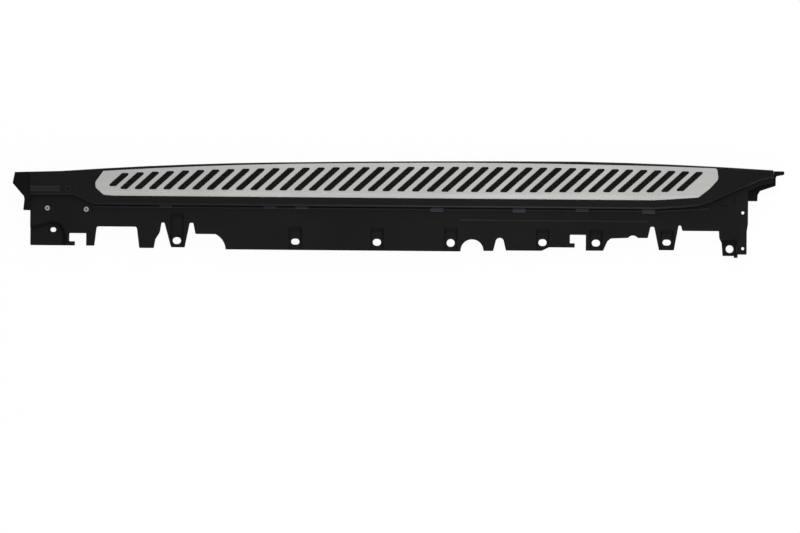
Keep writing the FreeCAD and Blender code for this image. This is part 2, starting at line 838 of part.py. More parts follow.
def ledge_outline(size, at):
    """The shelf under the seam, wider at the rear where the two screws sit."""
    seam = seam_line(size, at)
    inner = [(x, y + size.wall * 1.5) for x, y, *_ in seam]
    low = [(x, y - size.ledge_width) for x, y, *_ in seam]
    rear_low = size.shoulder_y - size.rear_ledge_width
    low[0] = (low[0][0], rear_low)
    low[1] = (low[1][0], rear_low)
    return outline(inner + low[::-1])


def rear_details(body, size, at):
    """On the rear shoulder: a rounded bar, a square dimple, a ringed hole and a small boss."""
    top = size.deck_height
    bar_y = size.shoulder_y + size.shoulder_bar_offset
    bar_rear = at.rear_cap_length
    half = size.shoulder_bar_width / 2
    profile = outline([
        (bar_y - half, top - 1), (bar_y + half, top - 1), (bar_y + half, top),
        (bar_y, top + size.shoulder_bar_height, "via"), (bar_y - half, top),
    ])
    bar = add_sketch(body, "shoulder_bar", [profile], f"{bar_rear}", "YZ_Plane")
    add_pad(body, bar, "Sizes.shoulder_bar_length")
    ring_x = bar_rear + size.shoulder_ring_offset
    ring = add_sketch(body, "shoulder_marks", [
        circle(ring_x, bar_y, size.shoulder_ring_radius),
        circle(ring_x, bar_y, size.shoulder_hole_radius),
        circle(ring_x + 23, bar_y + 3, 3.5),
    ], "Sizes.deck_height")
    add_pad(body, ring, "Sizes.shoulder_mark_height")
    dimples = add_sketch(body, "shoulder_dimples", [
        box_outline(bar_rear + 4, bar_rear + 24, bar_y + 14, bar_y + 26, 2.5),
        circle(ring_x, bar_y, size.shoulder_hole_radius - 1),
    ], "Sizes.deck_height")
    add_pocket(body, dimples, "Sizes.shoulder_mark_height")


def panel_corners(size, at):
    """The sill panel's edge from its rear upper corner, along the inner edge, to its front corner."""
    small = 3.0
    rear = at.rear_cap_length
    hook = at.block_length
    gap_low = -size.gap_reach
    post = at.post_width
    jack = at.jack_notch_length
    tab = at.rear_tab_width
    long_tab = at.rear_gap_length
    long_end = at.long_tab_width
    ledge = at.long_tab_gap
    curve = at.rear_ledge_length
    main = at.rear_curve_length
    notch = at.main_edge_length
    notch_end = at.round_notch_length
    narrow = at.small_tab_width
    middle = at.narrow_notch_length
    slant = at.middle_edge_length
    hook_edge = at.slant_length
    front_hook = at.front_hook_length
    front_edge = at.front_hook_gap
    front_curve = at.front_edge_length
    front_ledge = at.front_curve_length
    arch = front_ledge + size.front_ledge_length / 2
    gap = at.front_ledge_length
    front_tab = at.front_gap_length
    tab_end = at.front_tab_width
    corner_ledge = at.front_tab_gap
    corner = at.corner_ledge_length
    block = at.corner_curve_length
    end = at.corner_block_length
    stub = block + 30
    return [
        (rear, -size.block_reach, small),
        (hook, -size.block_reach),
        (hook, -size.block_reach + size.hook_height),
        (hook - size.hook_length, -size.block_reach + size.hook_height, 1.0),
        (hook - size.hook_length, -size.hook_notch_reach, 2.0),
        (at.hook_gap, -size.hook_notch_reach, 2.0),
        (at.hook_gap, -size.block_reach, 1.5),
        (post, -size.block_reach, 1.5),
        (post + 6, -size.jack_notch_reach, 6.0),
        (jack - 7, -size.jack_notch_reach, 6.0),
        (jack, -size.rear_tab_reach, 2.0),
        (tab, -size.rear_tab_reach, 2.0),
        (tab + 4, -size.long_tab_reach + 21, 20.0),
        (tab + 16, -size.long_tab_reach + 40, 20.0),
        (tab + 20, gap_low, 3.0),
        (long_tab - 18, gap_low, 3.0),
        (long_tab, -size.long_tab_reach, small),
        (long_end, -size.long_tab_reach, small),
        (long_end + 13, gap_low, 3.0),
        (ledge - 6, gap_low, 3.0),
        (ledge, -size.rear_ledge_reach, 3.0),
        (curve, -size.rear_ledge_reach),
        (curve + 16.5, -size.rear_ledge_reach - 13, "via"),
        (main, -size.main_edge_reach),
        (notch, -size.main_edge_reach),
        ((notch + notch_end) / 2, -size.round_notch_reach, "via"),
        (notch_end, -size.small_tab_reach),
        (narrow, -size.small_tab_reach, 1.5),
        (narrow + 6.5, -size.narrow_notch_reach - 10),
        ((narrow + middle) / 2, -size.narrow_notch_reach, "via"),
        (middle - 5.5, -size.narrow_notch_reach - 10),
        (middle, -size.middle_edge_reach, 1.5),
        (slant, -size.middle_edge_reach, 6.0),
        (hook_edge, -size.front_hook_reach, 4.0),
        (front_hook, -size.front_hook_reach),
        (front_hook, -size.front_hook_reach + size.hook_height),
        (front_hook - size.hook_length + 2, -size.front_hook_reach + size.hook_height, 1.0),
        (front_hook - size.hook_length + 2, -size.front_notch_reach, 2.0),
        (front_edge, -size.front_notch_reach, 2.0),
        (front_edge, -size.front_edge_reach, 1.5),
        (front_curve, -size.front_edge_reach, 3.0),
        (front_curve + 11, -size.front_ledge_reach - 10, 8.0),
        (front_ledge - 20, -size.front_ledge_reach - 2, 10.0),
        (arch - 13, -size.front_ledge_reach),
        (arch, -size.arch_reach, "via"),
        (arch + 13, -size.front_ledge_reach),
        (gap, -size.front_ledge_reach, 3.0),
        (gap + 7, gap_low, 3.0),
        (front_tab - 13, gap_low, 3.0),
        (front_tab, -size.front_tab_reach, small),
        (tab_end, -size.front_tab_reach, small),
        (tab_end + 12, gap_low + 4, 3.0),
        (corner_ledge - 4, gap_low + 4, 3.0),
        (corner_ledge, -size.corner_ledge_reach, 3.0),
        (corner, -size.corner_ledge_reach, 2.0),
        (corner + 1, -size.corner_ledge_reach - 18, 4.0),
        (block - 3, -size.corner_ledge_reach - 31, 6.0),
        (block, -size.corner_block_reach, 1.5),
        (stub, -size.corner_block_reach),
        (stub, -size.corner_stub_reach),
        (stub + 9, -size.corner_stub_reach),
        (stub + 9, -size.corner_block_reach + 4),
        (end, -size.corner_block_reach + 4, 1.5),
        (end, -size.corner_ledge_reach, 10.0),
        (end + 3, -size.corner_ledge_reach + 20, 10.0),
    ]


def panel_outline(size, at):
    """Plan of the sill panel: its inner edge, and the step's seam less a fit gap."""
    seam = offset_line(seam_line(size, at), -size.fit_gap)
    end = at.corner_block_length + 3
    upper = [p for p in seam if p[0] < end] + [(end, line_height(seam, end))]
    return outline(panel_corners(size, at) + upper[::-1])


def hole_places(size, at):
    """The nine fixing holes: x, y, width, height and depth of the pad they sit in."""
    main = at.rear_curve_length
    last = at.main_edge_length - LAST_HOLE
    first = main + FIRST_HOLE
    edge = -size.main_edge_reach + size.hole_edge_distance
    wide = size.hole_width
    tall = size.hole_height
    oval = size.oval_hole_height
    rounded = size.round_hole_size
    distance = size.hole_edge_distance
    front_row = -size.front_edge_reach + distance - 2
    return [
        (at.block_length - 58.5, -size.block_reach + 42, size.block_hole_width, size.block_hole_height),
        ((at.rear_gap_length + at.long_tab_width) / 2 - 3, edge, wide, tall),
        (first, edge, wide, oval),
        (first + (last - first) * MIDDLE_HOLE_SHARE, edge, wide, tall),
        (last, edge, rounded + 1, rounded),
        (at.middle_edge_length + 2, front_row, wide, tall),
        ((at.front_hook_gap + at.front_edge_length) / 2 + 4, front_row, wide, tall),
        ((at.front_gap_length + at.front_tab_width) / 2 + 1, -size.front_tab_reach + distance - 2,
         wide, oval),
        (at.corner_curve_length + 18.5, -size.corner_block_reach + distance - 4, rounded, rounded),
    ]


def pad_rings(size, at):
    """Plan of each dished pad at the panel's face and at its floor, and its depth."""
    holes = hole_places(size, at)
    rings = []
    out = size.corner_stub_reach + size.pad_overrun
    half = size.pad_width / 2
    narrow = half - size.pad_side_slope
    for i, (x, *_) in enumerate(holes[1:8]):
        start = -size.pad_start_reach if i else -size.long_pad_start_reach
        end = start - size.pad_slope
        top = [(x - half, -out), (x + half, -out), (x + half, start, 5.0), (x - half, start, 5.0)]
        floor = [(x - narrow, -out), (x + narrow, -out), (x + narrow, end, 4.0), (x - narrow, end, 4.0)]
        rings.append((top, floor, size.pad_depth))
    x, y = holes[0][0], holes[0][1]
    rear = at.rear_end
    top = [(rear, -out), (x + 42, -out), (x + 34, y - 8, 12.0), (x + 22, y + 20, 16.0),
           (x - 8, y + 24, 20.0), (x - 44, y + 12, 20.0), (rear, y + 10)]
    floor = [(rear, -out), (x + 24, -out), (x + 24, y - 8, 8.0), (x + 14, y + 11, 12.0),
             (x - 8, y + 14, 12.0), (x - 38, y + 2, 16.0), (rear, y)]
    rings.append((top, floor, size.dimple_depth))
    x, y = holes[8][0], holes[8][1]
    block = at.corner_curve_length
    top = [(block - 40, -out), (x + 19, -out), (x + 19, y + 27, 4.0), (block - 40, y + 27)]
    floor = [(block - 40, -out), (x + 15, -out), (x + 15, y + 20, 4.0), (block - 40, y + 20)]
    rings.append((top, floor, size.corner_pad_depth))
    return rings


def grown(ring, distance):
    """A ring let out by the wall, so that the dish keeps its thickness on the underside."""
    middle = (sum(p[0] for p in ring) / len(ring), sum(p[1] for p in ring) / len(ring))
    return [(x + math.copysign(distance, x - middle[0]), y + math.copysign(distance, y - middle[1]), *r)
            for x, y, *r in ring]


def add_seam_bead(body, size, at):
    """A low rounded bead along the seam, interrupted where the clips sit. Its last stretch drifts away
    from the straight line."""
    seam = seam_line(size, at)
    face = size.deck_height - size.panel_drop
    near = -2 * size.fit_gap
    start = seam[2][0]
    bend = seam[3][0]
    end = bend + (size.wedge_run_in + size.wedge_tip_length) * SEAM_BEAD_SHARE
    stops = (("seam_bead", start, 0), ("bead_bend", bend, 0), ("bead_end", end, size.seam_bead_drift))
    sections = []
    for name, x, shift in stops:
        high = near + shift
        low = high - size.seam_bead_width
        profile = outline([
            (low, face - 0.5), (high, face - 0.5), (high, face),
            ((low + high) / 2, face + size.seam_bead_height, "via"), (low, face),
        ])
        sections.append(add_sketch(body, name, [profile], f"{x}", "YZ_Plane"))
    add_pad(body, sections[0], f"{bend - start}")
    add_loft(body, "PartDesign::AdditiveLoft", sections[1], sections[2])
    half = size.clip_length / 2 + size.fit_gap
    far = near - size.seam_bead_width - 1
    gaps = [box_outline(x - half, x + half, far, 1) for x, _ in clip_places(size, at)]
    cut = add_sketch(body, "clip_gaps", gaps, "Sizes.deck_height - Sizes.panel_drop")
    add_pocket(body, cut, "Sizes.wall", reverse=True)


def clip_places(size, at):
    """Middle of each clip along the seam, and how far it stands out."""
    seam = seam_line(size, at)
    start = seam[2][0]
    length = seam[3][0] - start
    return [(start + share * length, reach) for share, reach in SEAM_CLIPS]


def make_sill_panel(doc, size, at):
    """The moulded inner flange, with its pads dished downwards and open to the edge."""
    body = new_body(doc, "sill_panel")
    plan = panel_outline(size, at)
    face = "Sizes.deck_height - Sizes.panel_drop"
    sheet = add_sketch(body, "panel_plan", [plan], face)
    add_pad(body, sheet, "Sizes.wall", reverse=True)
    rings = pad_rings(size, at)
    for i, (top, floor, depth) in enumerate(rings):
        upper = add_sketch(body, f"dish_{i}", [outline(grown(top, size.wall))], f"{face} - Sizes.wall / 2")
        lower = add_sketch(body, f"dish_floor_{i}", [outline(grown(floor, size.wall))],
                           f"{face} - {depth} - Sizes.wall")
        add_loft(body, "PartDesign::AdditiveLoft", upper, lower)
    limits = 60.0
    frame = box_outline(at.rear_end - limits, at.tongue_length + limits, -size.corner_stub_reach - limits,
                        size.outer_crest_y + limits)
    trim = add_sketch(body, "panel_trim", [frame, plan], face)
    add_pocket(body, trim, "Sizes.deck_height * 4", both=True)
    for i, (top, floor, depth) in enumerate(rings):
        upper = add_sketch(body, f"pad_{i}", [outline(top)], face)
        lower = add_sketch(body, f"pad_floor_{i}", [outline(floor)], f"{face} - {depth}")
        add_loft(body, "PartDesign::SubtractiveLoft", upper, lower)
    low = -size.bead_reach - size.bead_width / 2
    high = -size.bead_reach + size.bead_width / 2
    bead = add_sketch(body, "long_bead", [
        box_outline(at.main_edge_length - 4, at.front_ledge_length, low, high, size.bead_width / 2 - 0.1),
    ], face)
    add_pad(body, bead, "Sizes.bead_height")
    add_seam_bead(body, size, at)
    corner = at.corner_block_length
    slots = add_sketch(body, "corner_slots", [
        box_outline(corner - 35.5, corner - 31.5, 18, 40, 1.5),
        box_outline(corner - 70, corner - 52, 10, 14, 1.5),
    ], face)
    add_pocket(body, slots, "Sizes.corner_slot_depth")
    openings = [slot_outline(*hole) for hole in hole_places(size, at)]
    openings += [
        circle(corner - 11, -6.5, size.corner_hole / 2),
        circle(corner - 10.5, -size.corner_block_reach + 20, size.corner_hole / 2),
    ]
    openings += [circle(x, y, size.screw_radius + size.fit_gap) for x, y in rear_screw_places(size, at)]
    holes = add_sketch(body, "panel_holes", openings, face)
    add_pocket(body, holes, "Sizes.deck_height * 4", both=True)
    return body


def make_tread_plate(doc, size, at):
    """The slotted tread: a folded sheet cut to plan, on welded studs."""
    level = levels(size)
    body = new_body(doc, "tread_plate")
    rear, front = plate_ends(size, at)
    t = size.plate_thickness
    base = level.deck
    fold = size.plate_inner_y + size.plate_band
    low = base - size.plate_band_fall
    out = size.outer_crest_y + 10
    section = outline([
        (fold, base), (out, base), (out, base + t), (fold, base + t), (size.plate_inner_y - 5, low + t - 1),
        (size.plate_inner_y - 5, low - 1),
    ])
    profile = add_sketch(body, "tread_section", [section], f"{rear - 5}", "YZ_Plane")
    add_pad(body, profile, f"{front - rear + 10}")
    frame = box_outline(rear - 40, front + 40, -40, size.outer_crest_y + 40)
    plan = outline(tread_corners(size, at))
    trim = add_sketch(body, "tread_trim", [frame, plan], "Sizes.deck_height")
    add_pocket(body, trim, "Sizes.deck_height", both=True)
    cut = add_sketch(body, "tread_slots", slot_outlines(size, at), "Sizes.deck_height")
    add_pocket(body, cut, "Sizes.deck_height", both=True)
    studs = add_circles(body, "studs", stud_places(size, at), size.stud_radius, "Sizes.stud_radius",
                        "Sizes.deck_height")
    add_pad(body, studs, "Sizes.stud_length", reverse=True)
    return body


def make_tread_mat(doc, size, at):
    """The rubber mat in the recess, whose bars rise through the slots."""
    body = new_body(doc, "tread_mat")
    fold = size.plate_inner_y + size.plate_band + size.mat_inset
    plan = outline(tread_corners(size, at, size.mat_inset, fold))
    base = add_sketch(body, "mat_plan", [plan], "Sizes.deck_height - Sizes.plate_recess")
    add_pad(body, base, "Sizes.plate_recess")
    bars = slot_outlines(size, at, size.bar_gap, cut_straight=True)
    ribs = add_sketch(body, "mat_bars", bars, "Sizes.deck_height")
    add_pad(body, ribs, "Sizes.plate_thickness + Sizes.bar_proud")
    holes = add_circles(body, "mat_holes", stud_places(size, at), size.stud_radius + size.fit_gap,
                        "Sizes.stud_radius + Sizes.fit_gap", "Sizes.deck_height")
    add_pocket(body, holes, "Sizes.plate_recess")
    return body


def beam_ends(size, at):
    return at.rear_end + size.beam_rear_offset, at.tongue_length - size.beam_front_offset


def deck_screw_places(size, at):
    ribs = rib_places(size, at)
    return [(ribs[i], size.beam_y) for i in DECK_SCREW_RIBS if i < len(ribs)]


def cover_screw_places(size, at):
    ribs = rib_places(size, at)
    y = size.wall + size.boss_radius + 2
    return [(ribs[i], y) for i in COVER_RIBS if i < len(ribs)]


def rear_screw_places(size, at):
    first, second = REAR_SCREW_DROPS
    return [(at.rear_cap_length + REAR_SCREW_OFFSET, -first), (at.hook_gap, -second)]


def cap_screw_places(size, at, end):
    """Where the screws of an end cap enter the step's end wall, as y and z."""
    z = size.deck_height / 2 + 6
    if end == "rear":
        return [(size.shoulder_y + 18, z), (size.outer_rear_y - 20, z)]
    return [((size.wedge_tip_y + 8 + size.outer_front_y) / 2, z)]


def bracket_places(size, at):
    """Brackets sit in the middle of a bay between two ribs."""
    ribs = rib_places(size, at)
    return [((ribs[i] + ribs[i + 1]) / 2, size.beam_y) for i in BRACKET_BAYS if i + 1 < len(ribs)]


def bracket_bolt_places(size, at):
    half = size.bracket_bolt_spacing / 2
    return [(x + side * half, y) for x, y in bracket_places(size, at) for side in (-1, 1)]


def mount_hole_places(size, at):
    half = size.mount_hole_spacing / 2
    return [(x, y + side * half) for x, y in bracket_places(size, at) for side in (-1, 1)]


def make_support_beam(doc, size, at):
    """A rectangular tube along the step, which the deck's bosses stand on."""
    level = levels(size)
    body = new_body(doc, "support_beam")
    rear, front = beam_ends(size, at)
    y = size.beam_y
    half = size.beam_width / 2
    top = level.beam_top
    low = level.beam_low
    w = size.beam_wall
    section = add_sketch(body, "beam_section", [
        box_outline(y - half, y + half, low, top, 3.0),
        box_outline(y - half + w, y + half - w, low + w, top - w, 1.0),
    ], f"{rear}", "YZ_Plane")
    add_pad(body, section, f"{front - rear}")
    for name, places, height in (("beam_top_holes", deck_screw_places(size, at), top + 1),
                                 ("beam_low_holes", bracket_bolt_places(size, at), low + w + 1)):
        bores = add_circles(body, name, places, size.insert_radius, "Sizes.insert_radius", f"{height}")
        add_pocket(body, bores, "Sizes.beam_wall + 2")
    return body


def make_beam_plug(doc, size, at, name, end_x, direction):
    """A plastic plug that closes the tube: a flange and a hollow spigot."""
    level = levels(size)
    body = new_body(doc, name)
    y = size.beam_y
    half = size.beam_width / 2
    top = level.beam_top
    low = level.beam_low
    w = size.beam_wall + 0.2
    back = direction < 0
    flange = add_sketch(body, f"{name}_flange", [box_outline(y - half, y + half, low, top, 3.0)],
                        f"{end_x}", "YZ_Plane")
    add_pad(body, flange, "Sizes.wall", reverse=back)
    spigot = add_sketch(body, f"{name}_spigot", [
        box_outline(y - half + w, y + half - w, low + w, top - w, 1.0),
        box_outline(y - half + w + 2, y + half - w - 2, low + w + 2, top - w - 2),
    ], f"{end_x}", "YZ_Plane")
    add_pad(body, spigot, "Sizes.wall * 4", reverse=not back)
    return body


def make_bracket_plate(doc, size, at, number, place):
    """A steel plate under the beam, with two holes for its own bolts and two for the car's bracket."""
    level = levels(size)
    body = new_body(doc, f"bracket_plate_{number}")
    half_x = size.bracket_length / 2
    half_y = size.bracket_width / 2
    shape = box_outline(-half_x, half_x, -half_y, half_y, size.bracket_corner, cut_straight=True)
    plan = add_sketch(body, f"bracket_plan_{number}", [shape])
    add_pad(body, plan, "Sizes.bracket_thickness", reverse=True)
    bolts = [(side * size.bracket_bolt_spacing / 2, 0) for side in (-1, 1)]
    mounts = [(0, side * size.mount_hole_spacing / 2) for side in (-1, 1)]
    small = add_circles(body, f"bracket_bolt_holes_{number}", bolts, size.screw_radius + size.fit_gap,
                        "Sizes.screw_radius + Sizes.fit_gap", "Sizes.wall")
    add_pocket(body, small, "Sizes.bracket_thickness + 2 * Sizes.wall")
    large = add_circles(body, f"bracket_mount_holes_{number}", mounts, size.mount_hole_radius,
                        "Sizes.mount_hole_radius", "Sizes.wall")
    add_pocket(body, large, "Sizes.bracket_thickness + 2 * Sizes.wall")
    sinks = add_circles(body, f"bracket_sinks_{number}", bolts, size.bolt_head_radius + size.fit_gap,
                        "Sizes.bolt_head_radius + Sizes.fit_gap", "-Sizes.bracket_thickness")
    add_pocket(body, sinks, "Sizes.bracket_sink_depth", reverse=True)
    body.Placement.Base = Vector(place[0], place[1], level.beam_low)
    return body


def ring_body(doc, label, centres, steps, plane="XY_Plane", across=None):
    """Like fasteners in one node. Each step is an outer radius, an inner radius or none, a level and
    a height, and a hexagon of the given size across flats takes the place of an outer circle."""
    body = new_body(doc, label)
    for i, (outer, inner, low, height) in enumerate(steps):
        rings = []
        for x, y in centres:
            rings.append(hexagon(x, y, across) if across and i == 0 else circle(x, y, outer))
            if inner:
                rings.append(circle(x, y, inner))
        sketch = add_sketch(body, f"{label}_step_{i}", rings, f"{low}", plane)
        add_pad(body, sketch, f"{height}")
    return body


def make_fasteners(doc, size, at):
    """Screws, nuts and washers, one node for each kind."""
    level = levels(size)
    r = size.screw_radius
    gap = size.thread_gap
    washer_top = level.panel + size.washer_thickness
    head_top = washer_top + size.rear_head_height
    rear = rear_screw_places(size, at)
    studs = stud_places(size, at)
    stud_bore = size.stud_radius + gap
    washer_low = level.ceiling - size.plate_washer_thickness
    bolt_top = level.bracket + size.bracket_sink_depth
    rear_screws = ring_body(doc, "rear_screws", rear, [
        (size.rear_head_radius, None, washer_top, size.rear_head_height),
        (r, None, washer_top - size.rear_screw_length, size.rear_screw_length),
    ])
    sockets = add_sketch(rear_screws, "rear_sockets", [hexagon(x, y, size.rear_socket) for x, y in rear],
                         f"{head_top}")
    add_pocket(rear_screws, sockets, "Sizes.rear_socket_depth")
    made = [
        rear_screws,
        ring_body(doc, "rear_washers", rear,
                  [(size.washer_radius, r + size.fit_gap, level.panel, size.washer_thickness)]),
        ring_body(doc, "rear_nuts", rear, [
            (0, r + gap, level.panel - 2 * size.wall - size.rear_nut_height, size.rear_nut_height),
        ], across=size.rear_nut_flats),
        ring_body(doc, "weld_nuts", mount_hole_places(size, at),
                  [(0, size.weld_nut_bore, level.beam_low, size.weld_nut_height)],
                  across=size.weld_nut_flats),
        ring_body(doc, "bracket_bolts", bracket_bolt_places(size, at), [
            (size.bolt_head_radius, None, level.bracket + gap, size.bracket_sink_depth - gap),
            (r, None, bolt_top, size.bolt_length),
        ]),
        ring_body(doc, "plate_washers", studs,
                  [(size.plate_washer_radius, stud_bore, washer_low, size.plate_washer_thickness)]),
        ring_body(doc, "plate_nuts", studs,
                  [(0, stud_bore, washer_low - size.plate_nut_height, size.plate_nut_height)],
                  across=size.plate_nut_flats),
        ring_body(doc, "cover_screws", cover_screw_places(size, at), [
            (size.small_head_radius, None, gap, size.small_head_height),
            (r - gap, None, gap + size.small_head_height, size.cover_screw_length),
        ]),
    ]
    made.append(make_deck_screws(doc, size, at))
    made.append(make_rivet_nuts(doc, size, at))
    return made


def make_deck_screws(doc, size, at):
    """Countersunk screws from the recess floor down into the beam."""
    level = levels(size)
    body = new_body(doc, "deck_screws")
    places = deck_screw_places(size, at)
    shanks = add_circles(body, "deck_shanks", places, size.screw_radius, "Sizes.screw_radius",
                         f"{level.beam_top - 8}")
    add_pad(body, shanks, f"{level.recess - size.screw_radius - level.beam_top + 8.1}")
    heads = add_circles(body, "deck_heads", places, size.screw_radius, "Sizes.screw_radius",
                        f"{level.recess - size.screw_radius}")
    add_pad(body, heads, "Sizes.screw_radius - 0.1", taper=45.0)
    return body


def make_rivet_nuts(doc, size, at):
    """Threaded inserts, set in the beam's upper and lower wall."""
    level = levels(size)
    outer = size.insert_radius - size.thread_gap
    inner = size.screw_radius + size.thread_gap
    body = new_body(doc, "rivet_nuts")
    for name, places, base in (("upper", deck_screw_places(size, at), level.beam_top - size.insert_length),
                               ("lower", bracket_bolt_places(size, at), level.beam_low)):
        rings = []
        for x, y in places:
            rings += [circle(x, y, outer), circle(x, y, inner)]
        sketch = add_sketch(body, f"{name}_inserts", rings, f"{base}")
        add_pad(body, sketch, "Sizes.insert_length")
    return body


def make_under_cover(doc, size, at):
    """The tray that closes the hollow step, flush with the skirt's rim."""
    body = new_body(doc, "under_cover")
    seam = offset_line(seam_line(size, at), size.wall + size.fit_gap)
    rear = seam[0][0] + size.wall + size.fit_gap
    tip = seam[-1][0] - size.wall - 60
    lower = [(rear, seam[0][1])] + [p for p in seam[1:] if p[0] < tip]
    slope = math.hypot(size.skirt_drop, size.skirt_tuck)
    tuck = size.skirt_tuck + size.wall * slope / size.skirt_drop + size.fit_gap
    lower.append((tip, line_height(seam, tip)))
    outer = trimmed_outer_line(size, at, rear, tip, tuck)
    plan = add_sketch(body, "cover_plan", [outline(outer + lower[::-1])])
    add_pad(body, plan, "Sizes.cover_thickness")
    windows = []
    half_x = size.bracket_length / 2 + size.fit_gap
    half_y = size.bracket_width / 2 + size.fit_gap
    for x, y in bracket_places(size, at):
        windows.append(box_outline(x - half_x, x + half_x, y - half_y, y + half_y, size.bracket_corner,
                                   cut_straight=True))
    cut = add_sketch(body, "cover_windows", windows)
    add_pocket(body, cut, "Sizes.cover_thickness", reverse=True)
    holes = add_circles(body, "cover_holes", cover_screw_places(size, at), size.screw_radius + size.fit_gap,
                        "Sizes.screw_radius + Sizes.fit_gap", None)
    add_pocket(body, holes, "Sizes.cover_thickness", reverse=True)
    sinks = add_circles(body, "cover_sinks", cover_screw_places(size, at),
                        size.small_head_radius + size.fit_gap,
                        "Sizes.small_head_radius + Sizes.fit_gap", None)
    add_pocket(body, sinks, "Sizes.small_head_height + Sizes.thread_gap", reverse=True)
    return body


def make_seam_clips(doc, size, at):
    """Sheet clips along the seam, each an angle on the panel and against the step's wall, with a curled
    outer edge."""
    face = levels(size).panel
    body = new_body(doc, "seam_clips")
    t = size.clip_sheet
    gap = size.fit_gap / 2
    top = face + size.clip_height
    for i, (middle, reach) in enumerate(clip_places(size, at)):
        curl = -reach + size.clip_curl
        section = outline([
            (-reach, face), (-gap, face), (-gap, top), (-gap - t, top), (-gap - t, face + t),
            (curl, face + t), ((curl - reach) / 2, face + t + size.clip_curl / 3, "via"),
            (-reach, face + t),
        ])
        profile = add_sketch(body, f"clip_{i}", [section], f"{middle - size.clip_length / 2}", "YZ_Plane")
        add_pad(body, profile, "Sizes.clip_length")
    return body


def make_rear_end_cap(doc, size, at):
    """The closing piece at the rear end, hollow from below."""
    body = new_body(doc, "rear_end_cap")
    end = at.rear_cap_length
    rear = at.rear_end
    reach = size.rear_cap_reach
    plan = [
        (rear + size.outer_rear_gap, size.outer_rear_y), (end, outer_height(size, at, end)), (end, -reach),
        (rear + 29, -reach, 2.0),
        (rear + 32, 14.0, 6.0), (rear + 30, 22.0, 6.0), (rear, size.outer_rear_y - 29.5, 3.0),
    ]
    wall = size.wall
    inner = [
        (rear + size.outer_rear_gap + wall, size.outer_rear_y - wall),
        (end - wall, outer_height(size, at, end) - wall), (end - wall, wall - reach),
        (rear + 29 + wall, wall - reach), (rear + 32 + wall, 14.0), (rear + 30 + wall, 22.0 + wall),
        (rear + wall + 1, size.outer_rear_y - 28),
    ]
    base = add_sketch(body, "rear_cap_plan", [outline(plan)], "Sizes.rear_cap_low")
    add_pad(body, base, "Sizes.deck_height - Sizes.rear_cap_low - Sizes.rear_cap_drop")
    hollow = add_sketch(body, "rear_cap_hollow", [outline(inner)], "Sizes.rear_cap_low")
    add_pocket(body, hollow, "Sizes.deck_height - Sizes.rear_cap_low - Sizes.rear_cap_drop - Sizes.wall",
               reverse=True)
    holes = [circle(y, z, size.screw_radius + size.fit_gap) for y, z in cap_screw_places(size, at, "rear")]
    drill = add_sketch(body, "rear_cap_holes", holes, f"{end - wall / 2}", "YZ_Plane")
    add_pocket(body, drill, "Sizes.wall * 2", both=True)
    return body


def make_front_end_cap(doc, size, at):
    """The deep closing piece at the wedge, with the tongue that enters the wheel arch liner."""
    body = new_body(doc, "front_end_cap")
    seam = offset_line(seam_line(size, at), -size.fit_gap)
    start = at.corner_block_length + 3 + size.fit_gap
    knee = at.corner_to_cap_length
    end = at.front_cap_length
    tip = seam[-1][0] + size.fit_gap
    low_y = size.front_cap_inner_y
    plan = [
        (start, low_y), (knee, low_y, 1.0), (knee + 1, low_y + 16, 6.0), (knee + 7, low_y + 27, 6.0),
        (end, low_y + 41, 3.0), (end, size.outer_front_y - 2.5, 2.0), (tip, size.outer_front_y - 2.5),
        (tip, seam[-1][1]), (seam[-2][0], seam[-2][1]), (start, line_height(seam, start)),
    ]
    wall = size.wall
    hollow = [
        (start + wall, low_y + wall), (knee - wall, low_y + wall), (knee - wall + 1, low_y + 17),
        (knee + 5, low_y + 30), (end - wall, low_y + 41 + wall), (end - wall, seam[-1][1] - wall - 6),
        (seam[-2][0], seam[-2][1] - wall - 4), (start + wall, line_height(seam, start) - wall - 2),
    ]
    base = add_sketch(body, "front_cap_plan", [outline(plan)], "Sizes.cover_thickness")
    add_pad(body, base, "Sizes.front_cap_height")
    inside = add_sketch(body, "front_cap_hollow", [outline(hollow)], "Sizes.cover_thickness")
    add_pocket(body, inside, "Sizes.front_cap_height - Sizes.wall", reverse=True)
    block = box_outline(tip, end, seam[-1][1] + 1, size.outer_front_y - 2.5, 2.0)
    post = add_sketch(body, "front_cap_post", [block], "Sizes.cover_thickness")
    add_pad(body, post, "Sizes.deck_height - Sizes.front_post_drop")
    tongue = outline([
        (tip, size.outer_front_y - 17), (at.tongue_length, size.outer_front_y - 12, 3.0),
        (at.tongue_length, size.outer_front_y - 2.5, 3.0), (tip, size.outer_front_y - 2.5),
    ])
    blade = add_sketch(body, "front_tongue", [tongue], "Sizes.deck_height - Sizes.tongue_drop")
    add_pad(body, blade, "Sizes.tongue_thickness")
    holes = [circle(y, z, size.screw_radius + size.fit_gap) for y, z in cap_screw_places(size, at, "front")]
    drill = add_sketch(body, "front_cap_holes", holes, f"{(tip + end) / 2}", "YZ_Plane")
    add_pocket(body, drill, "Sizes.wall * 6", both=True)
    return body


def make_cap_screws(doc, size, at):
    """Screws that hold the end caps to the step's end walls."""
    body = new_body(doc, "cap_screws")
    r = size.screw_radius - size.thread_gap
    rear_face = at.rear_cap_length - size.wall
    front_face = at.front_cap_length
    for name, face, inward in (("rear", rear_face, 1), ("front", front_face, -1)):
        places = cap_screw_places(size, at, name)
        heads = [circle(y, z, size.small_head_radius) for y, z in places]
        shanks = [circle(y, z, r) for y, z in places]
        head = add_sketch(body, f"{name}_cap_heads", heads, f"{face}", "YZ_Plane")
        add_pad(body, head, "Sizes.cap_head_height", reverse=inward > 0)
        shank = add_sketch(body, f"{name}_cap_shanks", shanks, f"{face}", "YZ_Plane")
        add_pad(body, shank, "Sizes.cap_screw_length", reverse=inward < 0)
    return body


